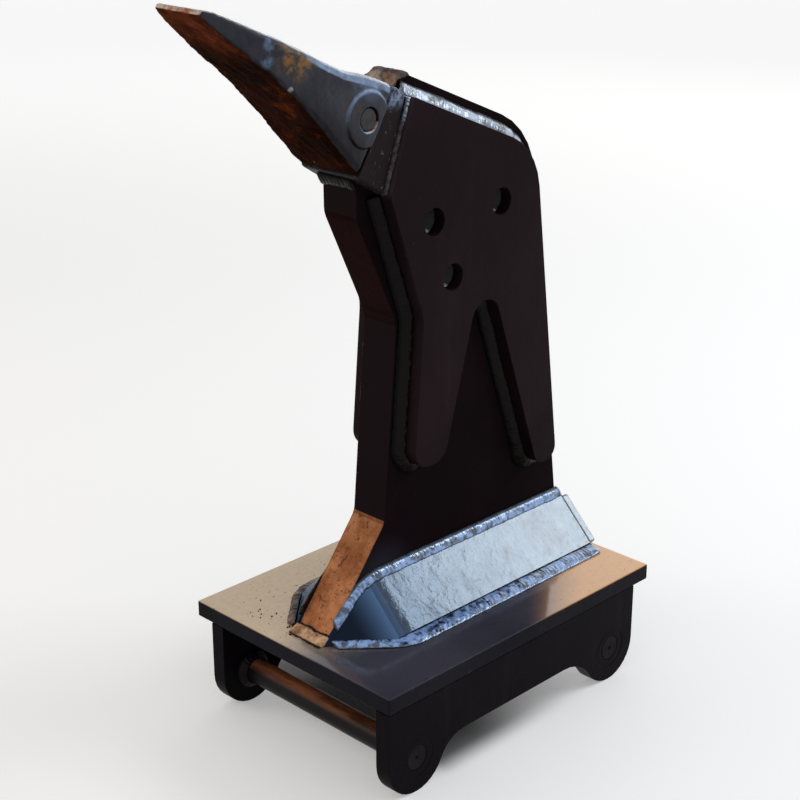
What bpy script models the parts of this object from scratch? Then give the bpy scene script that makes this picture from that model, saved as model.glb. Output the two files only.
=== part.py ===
"""Excavator ripper, standing on its quick-hitch ears with the tooth pointing up and forward.

Units are metres. +Z is up, X runs across the base plate, and the tooth points towards -Y.
The origin is under the middle of the whole ripper, on the surface that it stands on.

Side profiles are drawn as (y, z) measured from the middle of the base plate's top face.
The tooth and its adapter are drawn in the tooth's own frame: its origin is the tooth pin's
centre, and its -Y axis points along the tooth to the tip.
"""

import math

import bmesh
import bpy
from mathutils import Matrix, Vector

# Clearance between pieces that touch on the real ripper, and how far a cutter runs past a face
GAP = 0.0003
CUTTER_RUN_OUT = 0.002
CUTTER_REACH = 0.1

# Base plate
PLATE_WIDTH = 0.320
PLATE_LENGTH = 0.450
PLATE_THICKNESS = 0.020
PLATE_EDGE_CHAMFER = 0.0012

# Hitch ears and bars
EAR_THICKNESS = 0.020
EAR_INSET_RIGHT = 0.0005
EAR_INSET_LEFT = 0.025
BAR_RADIUS = 0.015
BAR_SPACING = 0.338
BAR_DROP = 0.070
LOBE_RADIUS = 0.043
WEB_DEPTH = 0.065
WEB_BLEND_FRONT = 0.040
WEB_BLEND_REAR = 0.060
BAR_CENTRE_HOLE_RADIUS = 0.0028
BAR_CENTRE_HOLE_DEPTH = 0.005
BAR_CHAMFER = 0.001
RING_WELD_WIDTH = 0.010
RING_WELD_DEPTH = 0.007
RING_WELD_SUNK = 0.0002
BAR_FILLET_LEG = 0.009
EAR_WELD_LEG = 0.009

# Shank core: a profile cut from thick plate. Drops are measured down from its top.
CORE_THICKNESS = 0.050
FOOT_FRONT_Y = -0.190
FOOT_REAR_Y = 0.213
FLARE_HEIGHT = 0.119
FLARE_Y = -0.0975
FLARE_RADIUS = 0.022
BEND_DROP = 0.241
BEND_Y = -0.0780
BEND_RADIUS = 0.060
THROAT_DROP = 0.116
THROAT_Y = -0.1370
THROAT_RADIUS = 0.030
BACK_LEAN_DEG = 7.6
TOP_SLOPE_DEG = 23.0
TOP_HEIGHT = 0.596
TOP_REAR_RADIUS = 0.100

# Cheek plates, with the fishtail notch cut up into them. Each plug hole is (y, drop).
CHEEK_THICKNESS = 0.025
CHEEK_INSET = 0.017
CHEEK_REAR_INSET = 0.022
CHEEK_TOP_INSET = 0.0225
CHEEK_BEND_RADIUS = 0.040
CHEEK_TOP_RADIUS = 0.080
FRONT_LEG_HEIGHT = 0.183
FRONT_LEG_WIDTH = 0.0490
FRONT_LEG_RADIUS = 0.022
REAR_LEG_HEIGHT = 0.1275
REAR_LEG_WIDTH = 0.0364
REAR_LEG_RADIUS = 0.016
NOTCH_DROP = 0.2375
NOTCH_Y = 0.0395
NOTCH_TOP_WIDTH = 0.034
NOTCH_TOP_FLAT = 0.0017
CHEEK_WELD_LEG = 0.014
CHEEK_WELD_HEIGHT = 0.010
CHEEK_WELD_RUN_ON = 0.003
PLUG_HOLE_PLACES = ((-0.045, 0.1305), (0.063, 0.1275), (-0.015, 0.1985))
PLUG_RADIUS = 0.0155
PLUG_RIM_HEIGHT = 0.011
PLUG_DISH_HEIGHT = 0.004
PLUG_DISH_RADIUS = 0.006

# Gusset plates: 45 degree slopes along the foot, with the front end bent in
GUSSET_THICKNESS = 0.012
GUSSET_FACE_WIDTH = 0.0693
GUSSET_REAR_Y = 0.2075
GUSSET_BEND_Y = -0.105
GUSSET_BEND_RADIUS = 0.070
GUSSET_BEND_DEG = 33.0
GUSSET_WELD_TOP_LEG = 0.003
GUSSET_WELD_FACE_LEG = 0.013
GUSSET_WELD_FOOT_LEG = 0.0095
GUSSET_WELD_FRONT_LEG = 0.009
GUSSET_WELD_STOP = 0.009
GUSSET_WELD_BULGE = 0.0022
GUSSET_WELD_TAPER = 0.009
GUSSET_BARE_EDGE = 0.002
GUSSET_END_EDGE_RADIUS = 0.0025
GUSSET_FRONT_SET_IN = 0.002
GUSSET_OVERRUN = 0.060
REAR_WELD_LEG = 0.006
FOOT_WELD_LEG = 0.013
FOOT_REAR_WELD_LEG = 0.008

# Tooth, adapter and pin, in the tooth's own frame
TOOTH_PIN_Y = -0.141
TOOTH_PIN_DROP = 0.006
TOOTH_ANGLE_DEG = 32.0
TOOTH_LENGTH = 0.234
TOOTH_REAR = 0.019
TOOTH_GAP = 0.003
CORE_NOSE_SETBACK = 0.040
CORE_NOSE_PREP_BACK = 0.0125
CORE_NOSE_PREP_DOWN = 0.0100
ADAPTER_HALF_WIDTH = 0.0435
ADAPTER_TOP = 0.046
ADAPTER_UNDERSIDE = -0.057
ADAPTER_LEG_LOW = 0.071
ADAPTER_LEG_HIGH = 0.048
ADAPTER_EDGE_RADIUS = 0.003
ADAPTER_WELD_GAP = 0.007
ADAPTER_WELD_PROUD = 0.0055
ADAPTER_BOTTOM_WELD_LEG = 0.0095
ADAPTER_TOP_WELD_TOE = 0.0035
ADAPTER_TOP_WELD_CROWN = 0.0058
NOSE_LENGTH = 0.095
NOSE_RUN_IN = 0.004
NOSE_ROOT_HALF_WIDTH = 0.032
NOSE_ROOT_LOW = -0.042
NOSE_ROOT_HIGH = 0.034
NOSE_TIP_HALF_WIDTH = 0.020
NOSE_TIP_LOW = -0.013
NOSE_TIP_HIGH = 0.011
SOCKET_CLEARANCE = 0.0005
BOSS_RADIUS = 0.030
BOSS_HALF_WIDTH = 0.0500
BOSS_EDGE_RADIUS = 0.003
BOSS_SIDES = 36
TOOTH_PIN_RADIUS = 0.0120
TOOTH_PIN_HALF_LENGTH = 0.0484
TOOTH_PIN_CHAMFER = 0.0015
TOOTH_PIN_CLEARANCE = 0.0006
RETAINER_OUTER_RADIUS = 0.0170
RETAINER_THICKNESS = 0.006
RETAINER_RECESS_DEPTH = 0.0102
PIN_SIDES = 28
LIFT_HOLE_RADIUS = 0.003
LIFT_HOLE_DEPTH = 0.004
LIFT_HOLE_Y = -0.008
LIFT_HOLE_X = -0.013

# Tooth sections from tip to rear: distance from the tip as a share of the tooth's length
# forward of its pin, half width, lower and upper edge, and corner radius
TOOTH_SECTIONS = (
    (0.000, 0.0335, -0.0020, 0.0045, 0.0015),
    (0.050, 0.0355, -0.0045, 0.0085, 0.0025),
    (0.140, 0.0390, -0.0092, 0.0120, 0.0040),
    (0.270, 0.0425, -0.0136, 0.0165, 0.0055),
    (0.400, 0.0455, -0.0176, 0.0210, 0.0070),
    (0.530, 0.0470, -0.0226, 0.0240, 0.0080),
    (0.650, 0.0475, -0.0288, 0.0265, 0.0090),
    (0.780, 0.0480, -0.0360, 0.0300, 0.0100),
    (0.900, 0.0480, -0.0452, 0.0385, 0.0110),
    (1.000, 0.0470, -0.0515, 0.0440, 0.0110),
)
TOOTH_REAR_HALF_WIDTH = 0.0460
TOOTH_REAR_LOW = -0.0560
TOOTH_REAR_HIGH = 0.0470
TOOTH_REAR_CORNER = 0.0110
TOOTH_REAR_TRIM = 0.0004

# Colours: base colour, roughness and metallic value
FINISHES = {
    "black_paint": ((0.012, 0.010, 0.011), 0.30, 0.0),
    "painted_weld": ((0.030, 0.032, 0.040), 0.35, 0.0),
    "adapter_steel": ((0.045, 0.040, 0.040), 0.45, 0.4),
    "tooth_steel": ((0.110, 0.110, 0.120), 0.45, 0.6),
    "pin_steel": ((0.130, 0.130, 0.140), 0.40, 0.7),
    "rusty_weld": ((0.330, 0.160, 0.070), 0.70, 0.2),
}

PLATE_TOP = LOBE_RADIUS + BAR_DROP + PLATE_THICKNESS
BEND_HEIGHT = TOP_HEIGHT - BEND_DROP
THROAT_HEIGHT = TOP_HEIGHT - THROAT_DROP
NOTCH_HEIGHT = TOP_HEIGHT - NOTCH_DROP
TOOTH_PIN_HEIGHT = TOP_HEIGHT - TOOTH_PIN_DROP
PLUG_HOLES = [(y, TOP_HEIGHT - drop) for y, drop in PLUG_HOLE_PLACES]
CORE_HALF = CORE_THICKNESS / 2
ARC_STEP_DEG = 12.0

materials = {}
parts = bpy.data.collections.new("excavator_ripper")
cutters = bpy.data.collections.new("cutters")


def clear_scene():
    for old in list(bpy.data.objects):
        bpy.data.objects.remove(old, do_unlink=True)
    bpy.context.scene.collection.children.link(parts)
    bpy.context.scene.collection.children.link(cutters)


def material(name):
    if name not in materials:
        colour, roughness, metallic = FINISHES[name]
        made = bpy.data.materials.new(name)
        made.use_nodes = True
        shader = made.node_tree.nodes["Principled BSDF"]
        shader.inputs["Base Color"].default_value = (*colour, 1.0)
        shader.inputs["Roughness"].default_value = roughness
        shader.inputs["Metallic"].default_value = metallic
        materials[name] = made
    return materials[name]


def add_empty(name, location, rotation=(0.0, 0.0, 0.0), parent=None):
    empty = bpy.data.objects.new(name, None)
    empty.location = location
    empty.rotation_euler = rotation
    empty.parent = parent
    parts.objects.link(empty)
    return empty


def add_part(name, data, finish, parent, location=(0.0, 0.0, 0.0), rotation=(0.0, 0.0, 0.0)):
    made = bpy.data.objects.new(name, data)
    data.materials.append(material(finish))
    made.parent = parent
    made.location = location
    made.rotation_euler = rotation
    parts.objects.link(made)
    return made


def add_cutter(name, data, parent, location=(0.0, 0.0, 0.0), rotation=(0.0, 0.0, 0.0)):
    made = bpy.data.objects.new(name, data)
    made.parent = parent
    made.location = location
    made.rotation_euler = rotation
    made.hide_render = True
    made.display_type = "WIRE"
    cutters.objects.link(made)
    return made


def boolean(target, cutter, operation="DIFFERENCE"):
    step = target.modifiers.new(cutter.name, "BOOLEAN")
    step.operation = operation
    step.object = cutter
    step.solver = "EXACT"
    return step


def bevel(target, width, segments=2, angle_deg=40.0):
    step = target.modifiers.new("edges", "BEVEL")
    step.width = width
    step.segments = segments
    step.limit_method = "ANGLE"
    step.angle_limit = math.radians(angle_deg)
    step.harden_normals = False
    return step


def smooth(mesh, angle_deg=35.0):
    mesh.shade_smooth()
    mesh.set_sharp_from_angle(angle=math.radians(angle_deg))


def finish_mesh(name, work, smooth_faces=False):
    bmesh.ops.recalc_face_normals(work, faces=work.faces)
    mesh = bpy.data.meshes.new(name)
    work.to_mesh(mesh)
    work.free()
    if smooth_faces:
        smooth(mesh)
    return mesh


def box_mesh(name, low, high):
    work = bmesh.new()
    bmesh.ops.create_cube(work, size=1.0)
    size = Vector(high) - Vector(low)
    middle = (Vector(high) + Vector(low)) / 2
    bmesh.ops.scale(work, vec=size, verts=work.verts)
    bmesh.ops.translate(work, vec=middle, verts=work.verts)
    return finish_mesh(name, work)


def rod_mesh(name, radius, half_length, segments=32):
    """A round bar along X, centred on the origin."""
    work = bmesh.new()
    turn = Matrix.Rotation(math.radians(90.0), 4, "Y")
    bmesh.ops.create_cone(
        work,
        cap_ends=True,
        segments=segments,
        radius1=radius,
        radius2=radius,
        depth=2 * half_length,
        matrix=turn,
    )
    return finish_mesh(name, work, smooth_faces=True)


def turned_part(name, profile, finish, parent, centre, side=1, steps=32):
    """A turned piece about X. The profile is a list of (distance along X, radius), closed."""
    work = bmesh.new()
    points = [work.verts.new((radius, 0.0, along)) for along, radius in profile]
    for first, second in zip(points, points[1:]):
        work.edges.new((first, second))
    if min(radius for _, radius in profile) > 0.0:
        work.edges.new((points[-1], points[0]))
    mesh = bpy.data.meshes.new(name)
    work.to_mesh(mesh)
    work.free()
    made = add_part(name, mesh, finish, parent, centre, (0.0, side * math.radians(90.0), 0.0))
    lathe = made.modifiers.new("lathe", "SCREW")
    lathe.axis = "Z"
    lathe.angle = math.radians(360.0)
    lathe.steps = steps
    lathe.render_steps = steps
    lathe.use_merge_vertices = True
    lathe.merge_threshold = 0.00002
    lathe.use_smooth_shade = True
    return made


def meet(first_point, first_direction, second_point, second_direction):
    """Where two lines of the side profile cross."""
    cross = first_direction.x * second_direction.y - first_direction.y * second_direction.x
    across = second_point - first_point
    share = (across.x * second_direction.y - across.y * second_direction.x) / cross
    return first_point + first_direction * share


def arc_points(centre, radius, start_deg, end_deg):
    steps = max(2, math.ceil(abs(end_deg - start_deg) / ARC_STEP_DEG))
    angles = [math.radians(start_deg + (end_deg - start_deg) * i / steps) for i in range(steps + 1)]
    return [centre + radius * Vector((math.cos(a), math.sin(a))) for a in angles]


def rounded(corners):
    """An outline from (point, radius) corners, with each radius as an arc tangent to both edges."""
    outline = []
    for i, (point, radius) in enumerate(corners):
        before = (corners[i - 1][0] - point).normalized()
        after = (corners[(i + 1) % len(corners)][0] - point).normalized()
        if radius <= 0.0:
            outline.append(point)
            continue
        half_turn = (math.pi - before.angle(after)) / 2
        reach = radius * math.tan(half_turn)
        inward = (before + after).normalized()
        centre = point + inward * (radius / math.cos(half_turn))
        start = point + before * reach - centre
        finish = point + after * reach - centre
        first = math.degrees(math.atan2(start.y, start.x))
        turn = math.degrees(math.atan2(start.x * finish.y - start.y * finish.x, start.dot(finish)))
        outline += arc_points(centre, radius, first, first + turn)
    return outline


def plate_curve(name, outline, thickness, holes=()):
    """A flat plate from a closed outline, as a 2D curve extruded both ways."""
    curve = bpy.data.curves.new(name, "CURVE")
    curve.dimensions = "2D"
    curve.fill_mode = "BOTH"
    curve.extrude = thickness / 2
    for loop in (outline, *holes):
        spline = curve.splines.new("POLY")
        spline.points.add(len(loop) - 1)
        for target, point in zip(spline.points, loop):
            target.co = (point.x, point.y, 0.0, 1.0)
        spline.use_cyclic_u = True
    return curve


def circle_points(centre, radius, count=28):
    angles = [2 * math.pi * i / count for i in range(count)]
    return [centre + radius * Vector((math.cos(a), math.sin(a))) for a in angles]


def plate_mesh(name, curve):
    """The solid of a plate curve as a closed mesh, for pieces that take a Boolean."""
    holder = bpy.data.objects.new(name, curve)
    bpy.context.scene.collection.objects.link(holder)
    graph = bpy.context.evaluated_depsgraph_get()
    mesh = bpy.data.meshes.new_from_object(holder.evaluated_get(graph))
    work = bmesh.new()
    work.from_mesh(mesh)
    bmesh.ops.remove_doubles(work, verts=work.verts, dist=0.00001)
    bmesh.ops.recalc_face_normals(work, faces=work.faces)
    work.to_mesh(mesh)
    work.free()
    mesh.name = name
    mesh.materials.clear()
    bpy.data.objects.remove(holder)
    bpy.data.curves.remove(curve)
    return mesh


# A side profile's local X and Y become the ripper's Y and Z, and its thickness lies along X
SIDE_ON = (math.radians(90.0), 0.0, math.radians(90.0))


def loft(name, sections, closed=False, smooth_faces=True):
    """Joins equal rings of points, with a cap at each end unless the loft closes on itself."""
    work = bmesh.new()
    rings = [[work.verts.new(point) for point in section] for section in sections]
    count = len(rings[0])
    pairs = list(zip(rings, rings[1:]))
    if closed:
        pairs.append((rings[-1], rings[0]))
    for first, second in pairs:
        for i in range(count):
            j = (i + 1) % count
            work.faces.new((first[i], first[j], second[j], second[i]))
    if not closed:
        work.faces.new(rings[0])
        work.faces.new(rings[-1])
    return finish_mesh(name, work, smooth_faces)


def bead_section(root, toe_one, toe_two, bulge, steps=4):
    """One cut through a weld bead: its root, and a swelling line from toe to toe."""
    middle = (toe_one + toe_two) / 2
    outward = (middle - root).normalized()
    control = middle + outward * (2 * bulge)
    line = []
    for i in range(steps + 1):
        t = i / steps
        line.append(toe_one * (1 - t) ** 2 + control * (2 * t * (1 - t)) + toe_two * t**2)
    return [root, *line]


def fillet_section(corner, normal_one, normal_two, leg_one, leg_two, bulge=0.25):
    """A fillet bead's cut: leg_one lies on the face with normal_one, leg_two on the other."""
    shared = normal_one.dot(normal_two)
    root = corner + (normal_one + normal_two) * (GAP / (1 + shared))
    along_one = (normal_two - normal_one * shared).normalized()
    along_two = (normal_one - normal_two * shared).normalized()
    toe_one = root + along_one * leg_one
    toe_two = root + along_two * leg_two
    return bead_section(root, toe_one, toe_two, bulge * min(leg_one, leg_two))


def mirrored(section):
    return [Vector((-point.x, point.y, point.z)) for point in section]


def sides():
    return (("right", 1), ("left", -1))


def on_side(sections, side):
    return sections if side > 0 else [mirrored(section) for section in sections]


# Side profile lines of the shank

BACK_DIRECTION = Vector((-math.tan(math.radians(BACK_LEAN_DEG)), 1.0)).normalized()
TOP_DIRECTION = Vector((math.cos(math.radians(TOP_SLOPE_DEG)), -math.sin(math.radians(TOP_SLOPE_DEG))))
TOOTH_ANGLE = math.radians(TOOTH_ANGLE_DEG)
TOOTH_PIN = Vector((TOOTH_PIN_Y, TOOTH_PIN_HEIGHT))
TOOTH_BACKWARD = Vector((math.cos(TOOTH_ANGLE), -math.sin(TOOTH_ANGLE)))
TOOTH_UP = Vector((math.sin(TOOTH_ANGLE), math.cos(TOOTH_ANGLE)))


def tooth_point(back, up):
    """A side profile point from the tooth's frame: back from the pin, and up from it."""
    return TOOTH_PIN + TOOTH_BACKWARD * back + TOOTH_UP * up


def core_corners():
    """The shank's outline, from the foot's front corner up the front and down the back."""
    foot_rear = Vector((FOOT_REAR_Y, GAP))
    top_middle = Vector((0.0, TOP_HEIGHT))
    nose_low = tooth_point(CORE_NOSE_SETBACK, ADAPTER_UNDERSIDE)
    nose_high = meet(nose_low, TOOTH_UP, top_middle, TOP_DIRECTION)
    nose_prep = nose_high - TOOTH_UP * CORE_NOSE_PREP_DOWN
    top_rear = meet(top_middle, TOP_DIRECTION, foot_rear, BACK_DIRECTION)
    nose_high += (top_rear - nose_high).normalized() * CORE_NOSE_PREP_BACK
    return {
        "foot_front": (Vector((FOOT_FRONT_Y, GAP)), 0.0),
        "flare": (Vector((FLARE_Y, FLARE_HEIGHT)), FLARE_RADIUS),
        "bend": (Vector((BEND_Y, BEND_HEIGHT)), BEND_RADIUS),
        "throat": (Vector((THROAT_Y, THROAT_HEIGHT)), THROAT_RADIUS),
        "nose_low": (nose_low, 0.0),
        "nose_prep": (nose_prep, 0.0),
        "nose_high": (nose_high, 0.0),
        "top_rear": (top_rear, TOP_REAR_RADIUS),
        "foot_rear": (foot_rear, 0.0),
    }


def inward_line(first, second, distance):
    """The line through two outline corners, moved into the outline (which runs clockwise)."""
    direction = (second - first).normalized()
    inward = Vector((direction.y, -direction.x))
    return first + inward * distance, direction


def cheek_outline():
    """The cheek plate's outline, from the front leg's foot up the front, round, and up the notch."""
    core = {name: point for name, (point, _) in core_corners().items()}
    front = inward_line(core["flare"], core["bend"], CHEEK_INSET)
    upper = inward_line(core["bend"], core["throat"], CHEEK_INSET)
    top = inward_line(core["nose_high"], core["top_rear"], CHEEK_TOP_INSET)
    back = inward_line(core["top_rear"], core["foot_rear"], CHEEK_REAR_INSET)
    low = tooth_point(ADAPTER_LEG_LOW, ADAPTER_UNDERSIDE)
    nose = (low, (tooth_point(ADAPTER_LEG_HIGH, ADAPTER_TOP) - low).normalized())
    level = Vector((1.0, 0.0))
    front_foot = (Vector((0.0, FRONT_LEG_HEIGHT)), level)
    rear_foot = (Vector((0.0, REAR_LEG_HEIGHT)), level)
    front_leg_inner = meet(*front, *front_foot) + level * FRONT_LEG_WIDTH
    rear_leg_inner = meet(*back, *rear_foot) - level * REAR_LEG_WIDTH
    notch_front = Vector((NOTCH_Y - NOTCH_TOP_WIDTH / 2, NOTCH_HEIGHT))
    notch_rear = Vector((NOTCH_Y + NOTCH_TOP_WIDTH / 2, NOTCH_HEIGHT))
    front_turn = level.angle(notch_front - front_leg_inner)
    rear_turn = level.angle(rear_leg_inner - notch_rear)
    reach = math.tan(front_turn / 2) + math.tan(rear_turn / 2)
    notch_radius = (NOTCH_TOP_WIDTH - NOTCH_TOP_FLAT) / reach
    bend_point = meet(*front, *upper)
    return rounded(
        (
            (meet(*nose, *top), 0.0),
            (meet(*top, *back), CHEEK_TOP_RADIUS),
            (meet(*back, *rear_foot), REAR_LEG_RADIUS),
            (rear_leg_inner, REAR_LEG_RADIUS),
            (notch_rear, notch_radius),
            (notch_front, notch_radius),
            (front_leg_inner, FRONT_LEG_RADIUS),
            (meet(*front, *front_foot), FRONT_LEG_RADIUS),
            (bend_point, CHEEK_BEND_RADIUS),
            (low, 0.0),
        )
    )


def make_shank(frame):
    outline = rounded(list(core_corners().values()))
    curve = plate_curve("shank_core", outline, CORE_THICKNESS)
    add_part("shank_core", curve, "black_paint", frame, rotation=SIDE_ON)
    holes = [circle_points(Vector(centre), PLUG_RADIUS) for centre in PLUG_HOLES]
    middle = CORE_HALF + GAP + CHEEK_THICKNESS / 2
    for name, side in sides():
        curve = plate_curve("cheek_plate_" + name, cheek_outline(), CHEEK_THICKNESS, holes)
        place = (side * middle, 0.0, 0.0)
        add_part("cheek_plate_" + name, curve, "black_paint", frame, place, SIDE_ON)


def make_plug_welds(frame):
    radius = PLUG_RADIUS - GAP
    dish = PLUG_DISH_RADIUS + (radius - PLUG_DISH_RADIUS) / 2
    profile = (
        (PLUG_DISH_HEIGHT, 0.0),
        (PLUG_DISH_HEIGHT, PLUG_DISH_RADIUS),
        ((PLUG_DISH_HEIGHT + PLUG_RIM_HEIGHT) / 2, dish),
        (PLUG_RIM_HEIGHT, radius),
        (0.0, radius),
        (0.0, 0.0),
    )
    for name, side in sides():
        for number, (y, z) in enumerate(PLUG_HOLES, 1):
            centre = (side * (CORE_HALF + GAP), y, z)
            turned_part(f"plug_weld_{name}_{number}", profile, "painted_weld", frame, centre, side, 28)


def cheek_weld_sections():
    """The fillet round the cheek plate, from its lower front corner round to its top front corner."""
    path = cheek_outline()[::-1]
    path.append(path[-1] + (path[-1] - path[-2]).normalized() * CHEEK_WELD_RUN_ON)
    sections = []
    for i, point in enumerate(path):
        before = (point - path[i - 1]).normalized() if i > 0 else None
        after = (path[i + 1] - point).normalized() if i + 1 < len(path) else None
        before = before or after
        after = after or before
        along = (before + after).normalized()
        outward = Vector((along.y, -along.x))
        spread = 1 / max(0.5, math.cos(before.angle(after) / 2))
        foot = Vector((CORE_HALF + GAP, *(point + outward * (GAP * spread))))
        toe = foot + Vector((0.0, *outward)) * (CHEEK_WELD_LEG * spread)
        head = foot + Vector((CHEEK_WELD_HEIGHT, 0.0, 0.0))
        sections.append(bead_section(foot, toe, head, CHEEK_WELD_LEG * 0.12))
    return sections


def make_cheek_welds(frame):
    for name, side in sides():
        mesh = loft("cheek_weld_" + name, on_side(cheek_weld_sections(), side))
        add_part("cheek_weld_" + name, mesh, "painted_weld", frame)


def make_base_plate(frame):
    half_width = PLATE_WIDTH / 2
    half_length = PLATE_LENGTH / 2
    low = (-half_width, -half_length, -PLATE_THICKNESS)
    mesh = box_mesh("base_plate", low, (half_width, half_length, 0.0))
    plate = add_part("base_plate", mesh, "black_paint", frame)
    bevel(plate, PLATE_EDGE_CHAMFER, 1)


# Hitch ears

BAR_HEIGHT = -PLATE_THICKNESS - BAR_DROP
BAR_FRONT_Y = -PLATE_LENGTH / 2 + LOBE_RADIUS
BAR_REAR_Y = BAR_FRONT_Y + BAR_SPACING
EAR_RIGHT_FACE = PLATE_WIDTH / 2 - EAR_INSET_RIGHT
EAR_LEFT_FACE = -PLATE_WIDTH / 2 + EAR_INSET_LEFT


def web_blend(lobe, blend_radius, side):
    """The concave arc from a lobe to the straight web: side is 1 where the web lies towards +Y."""
    web_height = -PLATE_THICKNESS - WEB_DEPTH
    drop = web_height - blend_radius - lobe.y
    reach = math.sqrt((LOBE_RADIUS + blend_radius) ** 2 - drop**2)
    centre = Vector((lobe.x + side * reach, web_height - blend_radius))
    angle = math.degrees(math.atan2(lobe.y - centre.y, lobe.x - centre.x))
    return centre, angle % 360.0


def ear_outline():
    top = -PLATE_THICKNESS - GAP
    front = Vector((BAR_FRONT_Y, BAR_HEIGHT))
    rear = Vector((BAR_REAR_Y, BAR_HEIGHT))
    front_centre, front_angle = web_blend(front, WEB_BLEND_FRONT, 1)
    rear_centre, rear_angle = web_blend(rear, WEB_BLEND_REAR, -1)
    rear_angle = rear_angle if rear_angle < 180.0 else rear_angle - 360.0
    outline = [Vector((front.x - LOBE_RADIUS, top))]
    outline += arc_points(front, LOBE_RADIUS, 180.0, 270.0)
    outline += arc_points(front, LOBE_RADIUS, 270.0, front_angle + 180.0)
    outline += arc_points(front_centre, WEB_BLEND_FRONT, front_angle, 90.0)
    outline += arc_points(rear_centre, WEB_BLEND_REAR, 90.0, rear_angle)
    outline += arc_points(rear, LOBE_RADIUS, rear_angle - 180.0, -90.0)
    outline += arc_points(rear, LOBE_RADIUS, -90.0, 0.0)
    outline.append(Vector((rear.x + LOBE_RADIUS, top)))
    return without_doubles(outline)


def without_doubles(outline):
    kept = [outline[0]]
    for point in outline[1:]:
        if (point - kept[-1]).length > 0.0001:
            kept.append(point)
    return kept


def bar_places():
    return (("front", BAR_FRONT_Y), ("rear", BAR_REAR_Y))


def ear_places():
    return (("right", 1, EAR_RIGHT_FACE), ("left", -1, EAR_LEFT_FACE))


def make_ears(frame):
    holes = [circle_points(Vector((y, BAR_HEIGHT)), BAR_RADIUS + GAP, 32) for _, y in bar_places()]
    for name, side, face in ear_places():
        curve = plate_curve("ear_plate_" + name, ear_outline(), EAR_THICKNESS, holes)
        mesh = plate_mesh("ear_plate_" + name, curve)
        middle = (face - side * EAR_THICKNESS / 2, 0.0, 0.0)
        ear = add_part("ear_plate_" + name, mesh, "black_paint", frame, middle, SIDE_ON)
        for place, y in bar_places():
            sink_for_ring(ear, f"ring_sink_{name}_{place}", frame, (face, y, BAR_HEIGHT), side)


def sink_for_ring(ear, name, frame, centre, side):
    """A countersink in the ear's outer face, which the ring weld fills."""
    reach = CUTTER_RUN_OUT
    width = RING_WELD_WIDTH * (1 + reach / RING_WELD_DEPTH)
    work = bmesh.new()
    bmesh.ops.create_cone(
        work,
        cap_ends=True,
        segments=32,
        radius1=BAR_RADIUS + GAP - RING_WELD_WIDTH * 0.05,
        radius2=BAR_RADIUS + GAP + width,
        depth=RING_WELD_DEPTH * 1.05 + reach,
        matrix=Matrix.Rotation(side * math.radians(90.0), 4, "Y"),
    )
    mesh = finish_mesh(name, work)
    middle = Vector(centre) + Vector((side * (reach - RING_WELD_DEPTH * 1.05) / 2, 0.0, 0.0))
    cutter = add_cutter(name, mesh, frame, middle)
    boolean(ear, cutter)


def make_bars(frame):
    length = EAR_RIGHT_FACE - EAR_LEFT_FACE
    middle = (EAR_RIGHT_FACE + EAR_LEFT_FACE) / 2
    half = length / 2
    profile = (
        (half - BAR_CENTRE_HOLE_DEPTH, 0.0),
        (half, BAR_CENTRE_HOLE_RADIUS),
        (half, BAR_RADIUS - BAR_CHAMFER),
        (half - BAR_CHAMFER, BAR_RADIUS),
        (BAR_CHAMFER - half, BAR_RADIUS),
        (-half, BAR_RADIUS - BAR_CHAMFER),
        (-half, BAR_CENTRE_HOLE_RADIUS),
        (BAR_CENTRE_HOLE_DEPTH - half, 0.0),
    )
    for place, y in bar_places():
        centre = (middle, y, BAR_HEIGHT)
        turned_part("hitch_bar_" + place, profile, "black_paint", frame, centre, 1, 32)


def make_bar_welds(frame):
    inner = BAR_RADIUS + GAP
    outer = BAR_RADIUS + GAP + RING_WELD_WIDTH - GAP * 2
    ring = (
        (-RING_WELD_SUNK * 2, inner),
        (-RING_WELD_SUNK, inner + RING_WELD_WIDTH * 0.4),
        (-RING_WELD_SUNK * 2, outer),
        (GAP * 4 - RING_WELD_DEPTH, inner + GAP * 2),
        (GAP * 4 - RING_WELD_DEPTH, inner),
    )
    leg = BAR_FILLET_LEG
    fillet = (
        (-GAP, inner),
        (-GAP, inner + leg),
        (-GAP - leg * 0.38, inner + leg * 0.72),
        (-GAP - leg * 0.75, inner + leg * 0.36),
        (-GAP - leg, inner),
    )
    for name, side, face in ear_places():
        for place, y in bar_places():
            outer_face = (face, y, BAR_HEIGHT)
            inner_face = (face - side * EAR_THICKNESS, y, BAR_HEIGHT)
            turned_part(f"bar_ring_weld_{place}_{name}", ring, "painted_weld", frame, outer_face, side)
            turned_part(f"bar_fillet_weld_{place}_{name}", fillet, "painted_weld", frame, inner_face, side)


def make_ear_welds(frame):
    """Fillets in the corners between the ears and the base plate's underside."""
    down = Vector((0.0, 0.0, -1.0))
    start = BAR_FRONT_Y - LOBE_RADIUS + EAR_WELD_LEG
    end = BAR_REAR_Y + LOBE_RADIUS - EAR_WELD_LEG
    for name, side, face in ear_places():
        inner = face - side * EAR_THICKNESS
        corner_line = (("ear_weld_" + name, inner, Vector((-side, 0.0, 0.0))),)
        if side < 0:
            corner_line += (("ear_weld_outer_" + name, face, Vector((side, 0.0, 0.0))),)
        for weld_name, x, facing in corner_line:
            sections = []
            for y in (start, end):
                corner = Vector((x, y, -PLATE_THICKNESS))
                sections.append(fillet_section(corner, down, facing, EAR_WELD_LEG, EAR_WELD_LEG))
            mesh = loft(weld_name, sections)
            add_part(weld_name, mesh, "painted_weld", frame)


# Gusset plates. Along the slope, "drop" is the distance below the unbent slope's plane

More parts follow.
